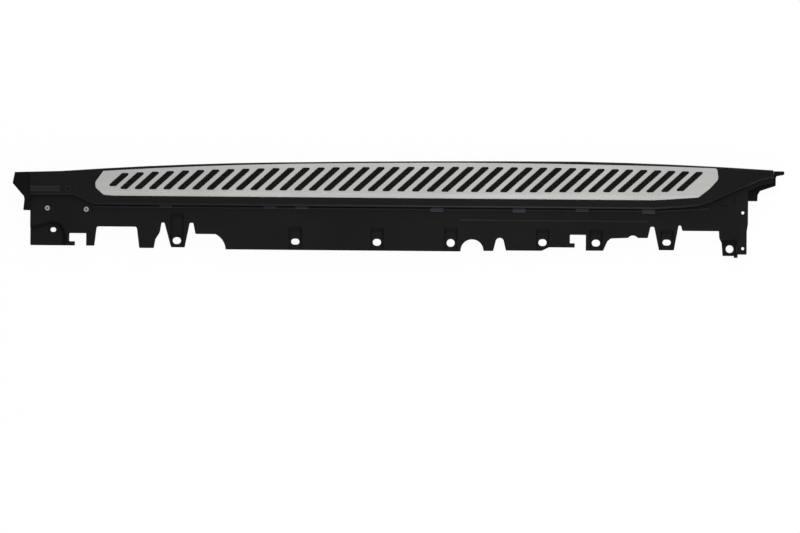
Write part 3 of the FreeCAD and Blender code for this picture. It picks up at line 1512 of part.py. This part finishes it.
def check_document(doc, pieces):
    """Stop if any object failed, or any piece is empty or not valid."""
    for item in doc.Objects:
        if "Invalid" in item.State or "Error" in item.State:
            raise RuntimeError(f"{item.Name} ({item.Label}) failed: {item.State}")
    for piece in pieces:
        if piece.Shape.isNull() or not piece.Shape.isValid() or not piece.Shape.Solids:
            raise RuntimeError(f"{piece.Label} has no valid solid")


def build():
    doc = FreeCAD.newDocument("SideStep")
    size = make_sheet(doc)
    at = edge_stations(size)
    pieces = [
        make_step_shell(doc, size, at),
        make_sill_panel(doc, size, at),
        make_tread_plate(doc, size, at),
        make_tread_mat(doc, size, at),
        make_under_cover(doc, size, at),
        make_support_beam(doc, size, at),
        make_seam_clips(doc, size, at),
        make_rear_end_cap(doc, size, at),
        make_front_end_cap(doc, size, at),
        make_cap_screws(doc, size, at),
    ]
    beam_rear, beam_front = beam_ends(size, at)
    pieces.append(make_beam_plug(doc, size, at, "beam_plug_rear", beam_rear, -1))
    pieces.append(make_beam_plug(doc, size, at, "beam_plug_front", beam_front, 1))
    for number, place in enumerate(bracket_places(size, at), 1):
        pieces.append(make_bracket_plate(doc, size, at, number, place))
    pieces += make_fasteners(doc, size, at)
    doc.recompute()
    check_document(doc, pieces)
    os.makedirs("parts", exist_ok=True)
    for piece in pieces:
        shape = piece.Shape
        print(f"{piece.Label}: {len(shape.Solids)} solid, {shape.Volume / 1000:.1f} cm3, {shape.BoundBox}")
        shape.exportStep(f"parts/{piece.Label}.step")


build()
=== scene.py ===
"""Looks of a moulded side step: a finish for each of its solids, and a plain studio seen from straight
above."""

import bpy
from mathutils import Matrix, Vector


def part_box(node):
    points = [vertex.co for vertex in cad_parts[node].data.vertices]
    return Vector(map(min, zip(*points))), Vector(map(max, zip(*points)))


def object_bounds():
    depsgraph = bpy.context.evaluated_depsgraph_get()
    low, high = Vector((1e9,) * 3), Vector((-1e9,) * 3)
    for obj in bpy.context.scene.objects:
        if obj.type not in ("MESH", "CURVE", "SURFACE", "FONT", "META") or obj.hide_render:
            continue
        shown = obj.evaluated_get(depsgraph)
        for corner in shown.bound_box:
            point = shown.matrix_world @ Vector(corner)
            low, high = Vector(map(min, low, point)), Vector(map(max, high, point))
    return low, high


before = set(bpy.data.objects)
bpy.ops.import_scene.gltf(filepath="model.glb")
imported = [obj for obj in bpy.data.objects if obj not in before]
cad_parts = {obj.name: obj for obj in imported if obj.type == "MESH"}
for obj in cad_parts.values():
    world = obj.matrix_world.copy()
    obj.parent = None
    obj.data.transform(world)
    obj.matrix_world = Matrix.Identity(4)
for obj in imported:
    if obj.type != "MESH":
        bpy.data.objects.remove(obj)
CAD_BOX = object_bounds()

bl_info = {
    "name": "Side step looks",
    "version": (1, 0, 0),
    "blender": (4, 5, 0),
    "location": "View3D > Sidebar > Side step",
    "description": "Finishes and studio for a moulded side step",
    "category": "Object",
}

MM = 0.001
WHITE = (1.0, 1.0, 1.0, 1.0)

# How far over a face its beads begin, over what rise they are painted paler, and by how much: a painted
# highlight
DECK_RIDGE = 0.5 * MM
PANEL_RIDGE = 0.2 * MM
RIDGE_RISE = 0.8 * MM
DECK_RIDGE_HIGHLIGHT = 3.2
PANEL_RIDGE_HIGHLIGHT = 2.3
# How dark the deck is painted at the wedge's tip: painted shade where the wedge slopes away
TIP_SHADE_SHARE = 0.3
# How dark the slanted and the steep walls of the panel's dishes are painted, against its flat face: painted
# shade
WALL_SHARE = 0.3
STEEP_SHADE_SHARE = 0.85
# The normal's upward part, from a slanted wall to a flat face, and from a steep wall to a slanted one
SLANTED_NORMALS = (0.87, 0.97)
STEEP_NORMALS = (0.56, 0.66)
# How deep below its mouth a socket is painted fully dark, how deep that painted shade starts, and how dark
# it is
SOCKET_DEPTHS = (1.5 * MM, 0.5 * MM)
SOCKET_SHADE_SHARE = 0.3
# How much smoother and rougher than its mean a plated steel is
PLATE_SPREAD = 0.07

# The floor's plain white for camera and mirrors: its strength, and how much of it covers the paint
GLOW_STRENGTH = 1.03
GLOW_SHARE = 0.93
FLOOR_SIZE = 60.0
# The two lamps hang at one place along the board, as far from its middle line on either side
LAMP_SIZE = (3.0, 1.2)
LAMP_X = 0.4
LAMP_REACH = 2.4
LAMP_HEIGHT = 2.2
# The surroundings are brighter low down than overhead, and change between two heights of the direction
WALL_HEIGHTS = (0.15, 0.85)
WALL_SHARES = (1.05, 0.62)
# The camera's sensor in millimetres, and how far it sees in metres
SENSOR_WIDTH = 36.0
VIEW_DEPTH = 100.0


def linear(code):
    """The linear colour of an sRGB hex value, which is how every colour in this file is written."""
    channels = [int(code[i:i + 2], 16) / 255 for i in (1, 3, 5)]
    return tuple(c / 12.92 if c <= 0.04045 else ((c + 0.055) / 1.055) ** 2.4 for c in channels)


def tint(name, code, about):
    """A colour that the panel shows."""
    return bpy.props.FloatVectorProperty(name=name, description=about, subtype="COLOR", size=3, min=0,
                                         max=1, default=linear(code))


def length(name, millimetres, about):
    """A length that the panel shows in the scene's unit."""
    return bpy.props.FloatProperty(name=name, description=about, subtype="DISTANCE", unit="LENGTH",
                                   default=millimetres * MM)


def share(name, value, about):
    """A plain number from 0 upwards."""
    return bpy.props.FloatProperty(name=name, description=about, default=value, min=0)


class SidestepFinishSettings(bpy.types.PropertyGroup):
    deck_colour: tint("Deck", "#0B0B0C", "Colour of the step's smooth moulded deck")
    panel_colour: tint("Sill panel", "#1C1C1E", "Colour of the grained sill panel and the under cover")
    # The caps' darker black is partly their own colour and partly painted shade for their low place
    cap_colour: tint("End caps", "#0A0B0C", "Colour of the end caps")
    tread_colour: tint("Tread", "#E9E9E6", "Colour of the satin aluminium tread")
    rubber_colour: tint("Rubber", "#111110", "Colour of the rubber bars")
    zinc_colour: tint("Zinc", "#B9BDC2", "Colour of the zinc plated steel")
    screw_colour: tint("Socket screws", "#EEF0F4", "Colour of the two bright screws at the rear")
    clip_colour: tint("Clips", "#4D4E55", "Colour of the seam clips")
    beam_colour: tint("Beam", "#C3C4C6", "Colour of the drawn aluminium beam")
    deck_height: length("Deck face", 56.0, "Height of the deck's upper face")
    panel_height: length("Panel face", 44.0, "Height of the sill panel's upper face")
    # Where the deck's painted shade towards the wedge's tip starts and ends
    tip_start: length("Wedge shade start", 860.0, "Where along the board the deck starts to darken")
    tip_end: length("Wedge shade end", 1000.0, "Where along the board the deck is darkest")
    grain_size: length("Plastic grain", 2.2, "Width of one grain of the plastic, as coarse as it shows")
    rubber_grain: length("Rubber grain", 5.2, "Spacing of the rubber's pimples, as coarse as it shows")


class SidestepStudioSettings(bpy.types.PropertyGroup):
    picture_width: length("Width in view", 2137.0, "How wide the picture is at the tread")
    camera_height: length("Camera height", 12000.0, "Height of the camera over the deck")
    focus_height: length("Deck in view", 50.0, "Height of the level at which the picture has its width")
    view_x: length("View centre along", 6.0, "Where the picture's middle lies along the board")
    view_y: length("View centre across", -157.6, "Where the picture's middle lies across the board")
    view_roll: bpy.props.FloatProperty(name="Roll", description="Turn of the camera about its line of sight",
                                       subtype="ANGLE", unit="ROTATION", default=0.0087)
    world_strength: share("Surroundings", 0.55, "Brightness of the studio's walls")
    outer_lamp: share("Outer lamp", 32.0, "Power of the long lamp beyond the outer edge, in watts")
    inner_lamp: share("Inner lamp", 22.0, "Power of the long lamp beyond the sill panel, in watts")
    floor_colour: tint("Floor", "#F4F4F3", "Colour of the pale floor")
    floor_gap: length("Gap to the floor", 0.5, "How far the floor lies under the board's lowest face")


def add_node(tree, kind, inputs=None, stops=(), **settings):
    """Adds a node. Settings name its attributes or input sockets. Inputs give a socket, by its name or
    place, the output or value that it takes. Stops are the places and colours of a colour ramp."""
    node = tree.nodes.new(kind)
    for name, value in settings.items():
        if hasattr(node, name):
            setattr(node, name, value)
        else:
            node.inputs[name.replace("_", " ")].default_value = value
    for name, source in (inputs or {}).items():
        if isinstance(source, bpy.types.NodeSocket):
            tree.links.new(source, node.inputs[name])
        else:
            node.inputs[name].default_value = source
    for i, (place, colour) in enumerate(stops):
        node.color_ramp.elements[i].position = place
        node.color_ramp.elements[i].color = colour
    return node


def new_material(name):
    """An empty node material."""
    material = bpy.data.materials.new(name)
    material.use_nodes = True
    material.node_tree.nodes.clear()
    return material, material.node_tree


def shade_of(colour, part=1.0):
    """A share of a colour with its alpha, as sockets want it."""
    return (*[min(1.0, c * part) for c in colour], 1.0)


def shades_of(colour, first, second, low=0.3, high=0.7):
    """The stops of a colour ramp, at low and high, from one share of a colour to another."""
    return (low, shade_of(colour, first)), (high, shade_of(colour, second))


def scale_colour(tree, shade, vector, axis, span, shares):
    """Scales a colour from one share to another as one part of a vector crosses a span."""
    parts = add_node(tree, "ShaderNodeSeparateXYZ", {"Vector": vector})
    level = add_node(tree, "ShaderNodeMapRange", {"Value": parts.outputs[axis]},
                     From_Min=span[0], From_Max=span[1], To_Min=shares[0], To_Max=shares[1])
    scaled = add_node(tree, "ShaderNodeVectorMath", {0: shade, 1: level.outputs["Result"]},
                      operation="MULTIPLY")
    return scaled.outputs["Vector"]


def grained_plastic(name, colour, grain, roughness, depth, gloss, ridge_height=None, ridge_highlight=1.0,
                    wall_shade=1.0, tip=None):
    """Injection moulded polypropylene: matt, a little mottled, with the fine leather-like grain that the
    tool leaves, which breaks up its highlight. The grain is drawn as coarse as it needs to show. Beads
    above the ridge height are painted paler by the ridge highlight, a painted highlight on their tops.
    The slanted walls of dishes are painted darker by the wall shade, as painted shade, and the steepest
    ones hardly. Between the two places of the tip the surface is painted darker, as painted shade where
    the wedge slopes away."""
    material, tree = new_material(name)
    place = add_node(tree, "ShaderNodeTexCoord")
    flow = add_node(tree, "ShaderNodeTexNoise", {"Vector": place.outputs["Object"]},
                    Scale=9.0, Detail=3.0, Roughness=0.6)
    mottled = add_node(tree, "ShaderNodeValToRGB", {"Fac": flow.outputs["Fac"]},
                       stops=shades_of(colour, 0.86, 1.16))
    cells = add_node(tree, "ShaderNodeTexVoronoi", {"Vector": place.outputs["Object"]},
                     Scale=1.0 / grain, feature="SMOOTH_F1")
    fine = add_node(tree, "ShaderNodeTexNoise", {"Vector": place.outputs["Object"]},
                    Scale=2.5 / grain, Detail=2.0)
    both = add_node(tree, "ShaderNodeMath", {0: cells.outputs["Distance"], 1: fine.outputs["Fac"]},
                    operation="ADD")
    bump = add_node(tree, "ShaderNodeBump", {"Height": both.outputs["Value"]},
                    Strength=depth, Distance=0.15 * MM)
    shade = mottled.outputs["Color"]
    # Painted highlight: the beads above the ridge height are painted paler
    if ridge_height is not None:
        shade = scale_colour(tree, shade, place.outputs["Object"], "Z",
                             (ridge_height, ridge_height + RIDGE_RISE), (1.0, ridge_highlight))
    # Painted shade: the deck is painted darker towards the wedge's tip
    if tip is not None:
        shade = scale_colour(tree, shade, place.outputs["Object"], "X", tip, (1.0, TIP_SHADE_SHARE))
    # Painted shade: the dishes' slanted walls are painted darker, the steepest ones hardly
    if wall_shade < 1.0:
        shade = scale_colour(tree, shade, place.outputs["Normal"], "Z", SLANTED_NORMALS,
                             (wall_shade, 1.0))
        shade = scale_colour(tree, shade, place.outputs["Normal"], "Z", STEEP_NORMALS,
                             (STEEP_SHADE_SHARE / wall_shade, 1.0))
    shader = add_node(tree, "ShaderNodeBsdfPrincipled",
                      {"Base Color": shade, "Normal": bump.outputs["Normal"]},
                      Roughness=roughness, IOR=1.49, Specular_IOR_Level=gloss)
    add_node(tree, "ShaderNodeOutputMaterial", {"Surface": shader.outputs["BSDF"]})
    return material


def satin_tread_aluminium(colour):
    """Aluminium sheet, brushed along the board and anodised clear: pale grey, with a soft wide sheen and
    long faint lines. The brush lines are drawn 2.4 mm wide, as the real ones are too fine to show."""
    material, tree = new_material("satin_anodised_aluminium")
    place = add_node(tree, "ShaderNodeTexCoord")
    stretch = add_node(tree, "ShaderNodeMapping", {"Vector": place.outputs["Object"]},
                       Scale=(3.0, 420.0, 420.0))
    lines = add_node(tree, "ShaderNodeTexNoise", {"Vector": stretch.outputs["Vector"]},
                     Scale=1.0, Detail=3.0, Roughness=0.7)
    blotches = add_node(tree, "ShaderNodeTexNoise", {"Vector": place.outputs["Object"]},
                        Scale=6.0, Detail=2.0)
    mixed = add_node(tree, "ShaderNodeMath", {0: lines.outputs["Fac"], 1: blotches.outputs["Fac"]},
                     operation="MULTIPLY")
    shade = add_node(tree, "ShaderNodeValToRGB", {"Fac": mixed.outputs["Value"]},
                     stops=shades_of(colour, 0.9, 1.06, 0.1, 0.45))
    bump = add_node(tree, "ShaderNodeBump", {"Height": lines.outputs["Fac"]},
                    Strength=0.25, Distance=0.05 * MM)
    shader = add_node(tree, "ShaderNodeBsdfPrincipled",
                      {"Base Color": shade.outputs["Color"], "Normal": bump.outputs["Normal"]},
                      Metallic=1.0, Roughness=0.58)
    add_node(tree, "ShaderNodeOutputMaterial", {"Surface": shader.outputs["BSDF"]})
    return material


def pimpled_rubber(colour, spacing):
    """EPDM rubber: dull black, with small round pimples for grip. Their tops are painted paler, a
    painted highlight where they catch the light, and the rubber between them darker, painted shade. They
    are drawn as coarse as they need to show."""
    material, tree = new_material("pimpled_epdm_rubber")
    place = add_node(tree, "ShaderNodeTexCoord")
    cells = add_node(tree, "ShaderNodeTexVoronoi", {"Vector": place.outputs["Object"]},
                     Scale=1.0 / spacing, Randomness=0.25)
    # Painted highlight on the pimples' tops and painted shade between them
    shade = add_node(tree, "ShaderNodeValToRGB", {"Fac": cells.outputs["Distance"]},
                     stops=shades_of(colour, 6.5, 0.15, 0.06, 0.42))
    bump = add_node(tree, "ShaderNodeBump", {"Height": cells.outputs["Distance"]},
                    Strength=0.8, Distance=0.5 * MM, invert=True)
    shader = add_node(tree, "ShaderNodeBsdfPrincipled",
                      {"Base Color": shade.outputs["Color"], "Normal": bump.outputs["Normal"]},
                      Roughness=0.75, IOR=1.52, Specular_IOR_Level=0.15)
    add_node(tree, "ShaderNodeOutputMaterial", {"Surface": shader.outputs["BSDF"]})
    return material


def plated_steel(name, colour, roughness, blotch, socket_height=None):
    """Steel with a zinc or phosphate coat: a metal with cloudy crystals that dull its shine here and
    there. Below a socket's mouth it is painted dark, as painted shade in the recess."""
    material, tree = new_material(name)
    place = add_node(tree, "ShaderNodeTexCoord")
    crystals = add_node(tree, "ShaderNodeTexVoronoi", {"Vector": place.outputs["Object"]},
                        Scale=1.0 / blotch)
    clouds = add_node(tree, "ShaderNodeTexNoise", {"Vector": place.outputs["Object"]},
                      Scale=0.4 / blotch, Detail=3.0)
    mixed = add_node(tree, "ShaderNodeMath", {0: crystals.outputs["Distance"], 1: clouds.outputs["Fac"]},
                     operation="MULTIPLY")
    coat = add_node(tree, "ShaderNodeValToRGB", {"Fac": mixed.outputs["Value"]},
                    stops=shades_of(colour, 0.8, 1.08, 0.05, 0.4))
    dull = add_node(tree, "ShaderNodeMapRange", {"Value": clouds.outputs["Fac"]}, From_Min=0.3,
                    From_Max=0.7, To_Min=roughness - PLATE_SPREAD, To_Max=roughness + PLATE_SPREAD)
    shade = coat.outputs["Color"]
    # Painted shade down in the socket below its mouth
    if socket_height is not None:
        dark, mouth = [socket_height - depth for depth in SOCKET_DEPTHS]
        shade = scale_colour(tree, shade, place.outputs["Object"], "Z", (dark, mouth),
                             (SOCKET_SHADE_SHARE, 1.0))
    shader = add_node(tree, "ShaderNodeBsdfPrincipled",
                      {"Base Color": shade, "Roughness": dull.outputs["Result"]}, Metallic=1.0)
    add_node(tree, "ShaderNodeOutputMaterial", {"Surface": shader.outputs["BSDF"]})
    return material


def drawn_aluminium(colour):
    """Extruded aluminium as it leaves the die: a dull grey skin with lines along the beam. The lines are
    drawn 1.7 mm wide, as the real ones are too fine to show."""
    material, tree = new_material("drawn_mill_aluminium")
    place = add_node(tree, "ShaderNodeTexCoord")
    stretch = add_node(tree, "ShaderNodeMapping", {"Vector": place.outputs["Object"]},
                       Scale=(2.0, 600.0, 600.0))
    lines = add_node(tree, "ShaderNodeTexNoise", {"Vector": stretch.outputs["Vector"]},
                     Scale=1.0, Detail=2.0)
    shade = add_node(tree, "ShaderNodeValToRGB", {"Fac": lines.outputs["Fac"]},
                     stops=shades_of(colour, 0.82, 1.05))
    shader = add_node(tree, "ShaderNodeBsdfPrincipled", {"Base Color": shade.outputs["Color"]},
                      Metallic=1.0, Roughness=0.38)
    add_node(tree, "ShaderNodeOutputMaterial", {"Surface": shader.outputs["BSDF"]})
    return material


def pale_floor(colour):
    """Matt white studio floor. The camera and mirrors see most of it as plain white, and the rest keeps
    the object's shadow. Its back is clear, so that it doesn't hide the board's underside."""
    material, tree = new_material("matt_white_floor")
    paint = add_node(tree, "ShaderNodeBsdfDiffuse", Color=shade_of(colour))
    glow = add_node(tree, "ShaderNodeEmission", Color=WHITE, Strength=GLOW_STRENGTH)
    path = add_node(tree, "ShaderNodeLightPath")
    seen = add_node(tree, "ShaderNodeMath",
                    {0: path.outputs["Is Camera Ray"], 1: path.outputs["Is Glossy Ray"]},
                    operation="MAXIMUM")
    any_view = add_node(tree, "ShaderNodeMath",
                        {0: seen.outputs["Value"], 1: path.outputs["Is Transmission Ray"]},
                        operation="MAXIMUM")
    part = add_node(tree, "ShaderNodeMath", {0: any_view.outputs["Value"], 1: GLOW_SHARE},
                    operation="MULTIPLY")
    mixed = add_node(tree, "ShaderNodeMixShader",
                     {"Fac": part.outputs["Value"], 1: paint.outputs["BSDF"],
                      2: glow.outputs["Emission"]})
    clear = add_node(tree, "ShaderNodeBsdfTransparent")
    side = add_node(tree, "ShaderNodeNewGeometry")
    one_sided = add_node(tree, "ShaderNodeMixShader",
                         {"Fac": side.outputs["Backfacing"], 1: mixed.outputs["Shader"],
                          2: clear.outputs["BSDF"]})
    add_node(tree, "ShaderNodeOutputMaterial", {"Surface": one_sided.outputs["Shader"]})
    return material


def finish_nodes(material, *names):
    """Gives CAD nodes a finish."""
    for name in names:
        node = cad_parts[name]
        node.data.materials.clear()
        node.data.materials.append(material)


def start_clean():
    """Leaves edit mode and selects nothing, because operators act on all that is selected."""
    if bpy.context.mode != "OBJECT":
        bpy.ops.object.mode_set(mode="OBJECT")
    bpy.ops.object.select_all(action="DESELECT")


class SIDESTEP_OT_plastics(bpy.types.Operator):
    """Finish the moulded plastic pieces"""
    bl_idname = "sidestep.plastics"
    bl_label = "Moulded plastics"

    def execute(self, context):
        finish = context.scene.sidestep_finish
        grain = finish.grain_size
        # The deck and the panel carry a painted highlight on their beads
        deck = grained_plastic("smooth_moulded_polypropylene", finish.deck_colour, grain,
                               roughness=0.36, depth=0.2, gloss=0.32,
                               ridge_height=finish.deck_height + DECK_RIDGE, ridge_highlight=DECK_RIDGE_HIGHLIGHT,
                               tip=(finish.tip_start, finish.tip_end))
        panel = grained_plastic("grained_moulded_polypropylene", finish.panel_colour, grain,
                                roughness=0.6, depth=0.6, gloss=0.12,
                                ridge_height=finish.panel_height + PANEL_RIDGE,
                                ridge_highlight=PANEL_RIDGE_HIGHLIGHT, wall_shade=WALL_SHARE)
        cap = grained_plastic("matt_moulded_polypropylene", finish.cap_colour, grain,
                              roughness=0.6, depth=0.6, gloss=0.15)
        finish_nodes(deck, "step_shell")
        finish_nodes(panel, "sill_panel", "under_cover")
        finish_nodes(cap, "rear_end_cap", "front_end_cap", "beam_plug_rear", "beam_plug_front")
        return {"FINISHED"}


class SIDESTEP_OT_tread(bpy.types.Operator):
    """Finish the aluminium tread and the rubber mat in it"""
    bl_idname = "sidestep.tread"
    bl_label = "Tread and rubber"

    def execute(self, context):
        finish = context.scene.sidestep_finish
        finish_nodes(satin_tread_aluminium(finish.tread_colour), "tread_plate")
        finish_nodes(pimpled_rubber(finish.rubber_colour, finish.rubber_grain), "tread_mat")
        return {"FINISHED"}


class SIDESTEP_OT_metals(bpy.types.Operator):
    """Finish the beam, the bracket plates, the clips and the fasteners"""
    bl_idname = "sidestep.metals"
    bl_label = "Beam, clips and fasteners"

    def execute(self, context):
        finish = context.scene.sidestep_finish
        zinc = plated_steel("zinc_plated_steel", finish.zinc_colour, roughness=0.34, blotch=1.6 * MM)
        screw = plated_steel("zinc_plated_socket_screw", finish.screw_colour, roughness=0.26,
                             blotch=1.6 * MM, socket_height=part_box("rear_screws")[1][2])
        clip = plated_steel("phosphated_spring_steel", finish.clip_colour, roughness=0.5, blotch=2.4 * MM)
        plates = [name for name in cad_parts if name.startswith("bracket_plate")]
        finish_nodes(drawn_aluminium(finish.beam_colour), "support_beam")
        finish_nodes(clip, "seam_clips")
        finish_nodes(screw, "rear_screws")
        finish_nodes(zinc, "rear_washers", "rear_nuts", "weld_nuts", "bracket_bolts",
                     "deck_screws", "rivet_nuts", "plate_washers", "plate_nuts", "cap_screws",
                     "cover_screws", *plates)
        return {"FINISHED"}


class SIDESTEP_OT_stage(bpy.types.Operator):
    """Set the floor, the surroundings, the lamps and the camera"""
    bl_idname = "sidestep.stage"
    bl_label = "Studio"

    def execute(self, context):
        studio = context.scene.sidestep_studio
        start_clean()
        floor_height = CAD_BOX[0].z - studio.floor_gap
        bpy.ops.mesh.primitive_plane_add(size=FLOOR_SIZE, location=(0.0, 0.0, floor_height))
        floor = context.object
        floor.name = "studio_floor"
        floor.data.materials.append(pale_floor(studio.floor_colour))
        self.set_world(context, studio.world_strength)
        self.add_lamp(context, "outer_lamp", LAMP_REACH, studio.outer_lamp)
        self.add_lamp(context, "inner_lamp", -LAMP_REACH, studio.inner_lamp)
        self.set_camera(context, studio)
        context.scene.view_settings.view_transform = "Standard"
        return {"FINISHED"}

    def set_world(self, context, strength):
        """Pale surroundings under a dimmer ceiling, which the camera sees as plain white."""
        world = bpy.data.worlds.new("studio_walls")
        context.scene.world = world
        world.use_nodes = True
        tree = world.node_tree
        tree.nodes.clear()
        place = add_node(tree, "ShaderNodeTexCoord")
        parts = add_node(tree, "ShaderNodeSeparateXYZ", {"Vector": place.outputs["Generated"]})
        low, high = WALL_HEIGHTS
        low_level, high_level = [strength * part for part in WALL_SHARES]
        level = add_node(tree, "ShaderNodeMapRange", {"Value": parts.outputs["Z"]},
                         From_Min=low, From_Max=high, To_Min=low_level, To_Max=high_level)
        walls = add_node(tree, "ShaderNodeBackground", {"Strength": level.outputs["Result"]}, Color=WHITE)
        plain = add_node(tree, "ShaderNodeBackground", Color=WHITE, Strength=1.0)
        path = add_node(tree, "ShaderNodeLightPath")
        mixed = add_node(tree, "ShaderNodeMixShader",
                         {"Fac": path.outputs["Is Camera Ray"], 1: walls.outputs["Background"],
                          2: plain.outputs["Background"]})
        add_node(tree, "ShaderNodeOutputWorld", {"Surface": mixed.outputs["Shader"]})

    def add_lamp(self, context, name, across, power):
        """A long soft lamp to one side of the board, aimed at its middle line."""
        bpy.ops.object.light_add(type="AREA", location=(LAMP_X, across, LAMP_HEIGHT))
        lamp = context.object
        lamp.name = name
        lamp.data.shape = "RECTANGLE"
        lamp.data.size, lamp.data.size_y = LAMP_SIZE
        lamp.data.energy = power
        aim = Vector((LAMP_X, 0.0, 0.0)) - lamp.location
        lamp.rotation_euler = aim.to_track_quat("-Z", "X").to_euler()

    def set_camera(self, context, studio):
        """A long lens straight above the board, turned by the photograph's slight roll."""
        height = studio.focus_height + studio.camera_height
        bpy.ops.object.camera_add(location=(studio.view_x, studio.view_y, height))
        camera = context.object
        camera.name = "studio_camera"
        camera.rotation_euler = (0.0, 0.0, studio.view_roll)
        camera.data.sensor_width = SENSOR_WIDTH
        camera.data.lens = SENSOR_WIDTH * studio.camera_height / studio.picture_width
        camera.data.clip_end = VIEW_DEPTH
        context.scene.camera = camera


class SIDESTEP_PT_looks(bpy.types.Panel):
    """Lists the board's operators and settings"""
    bl_idname = "SIDESTEP_PT_looks"
    bl_label = "Side step"
    bl_space_type = "VIEW_3D"
    bl_region_type = "UI"
    bl_category = "Side step"

    def draw(self, context):
        for step in STEPS:
            self.layout.operator(step.bl_idname)
        for settings in (context.scene.sidestep_finish, context.scene.sidestep_studio):
            for name in settings.__annotations__:
                self.layout.prop(settings, name)


STEPS = (SIDESTEP_OT_plastics, SIDESTEP_OT_tread, SIDESTEP_OT_metals, SIDESTEP_OT_stage)
CLASSES = (SidestepFinishSettings, SidestepStudioSettings, *STEPS, SIDESTEP_PT_looks)


def register():
    for item in CLASSES:
        bpy.utils.register_class(item)
    bpy.types.Scene.sidestep_finish = bpy.props.PointerProperty(type=SidestepFinishSettings)
    bpy.types.Scene.sidestep_studio = bpy.props.PointerProperty(type=SidestepStudioSettings)


def unregister():
    del bpy.types.Scene.sidestep_studio
    del bpy.types.Scene.sidestep_finish
    for item in reversed(CLASSES):
        bpy.utils.unregister_class(item)


def main():
    register()
    for step in STEPS:
        group, name = step.bl_idname.split(".")
        getattr(getattr(bpy.ops, group), name)()


if __name__ == "__main__":
    main()
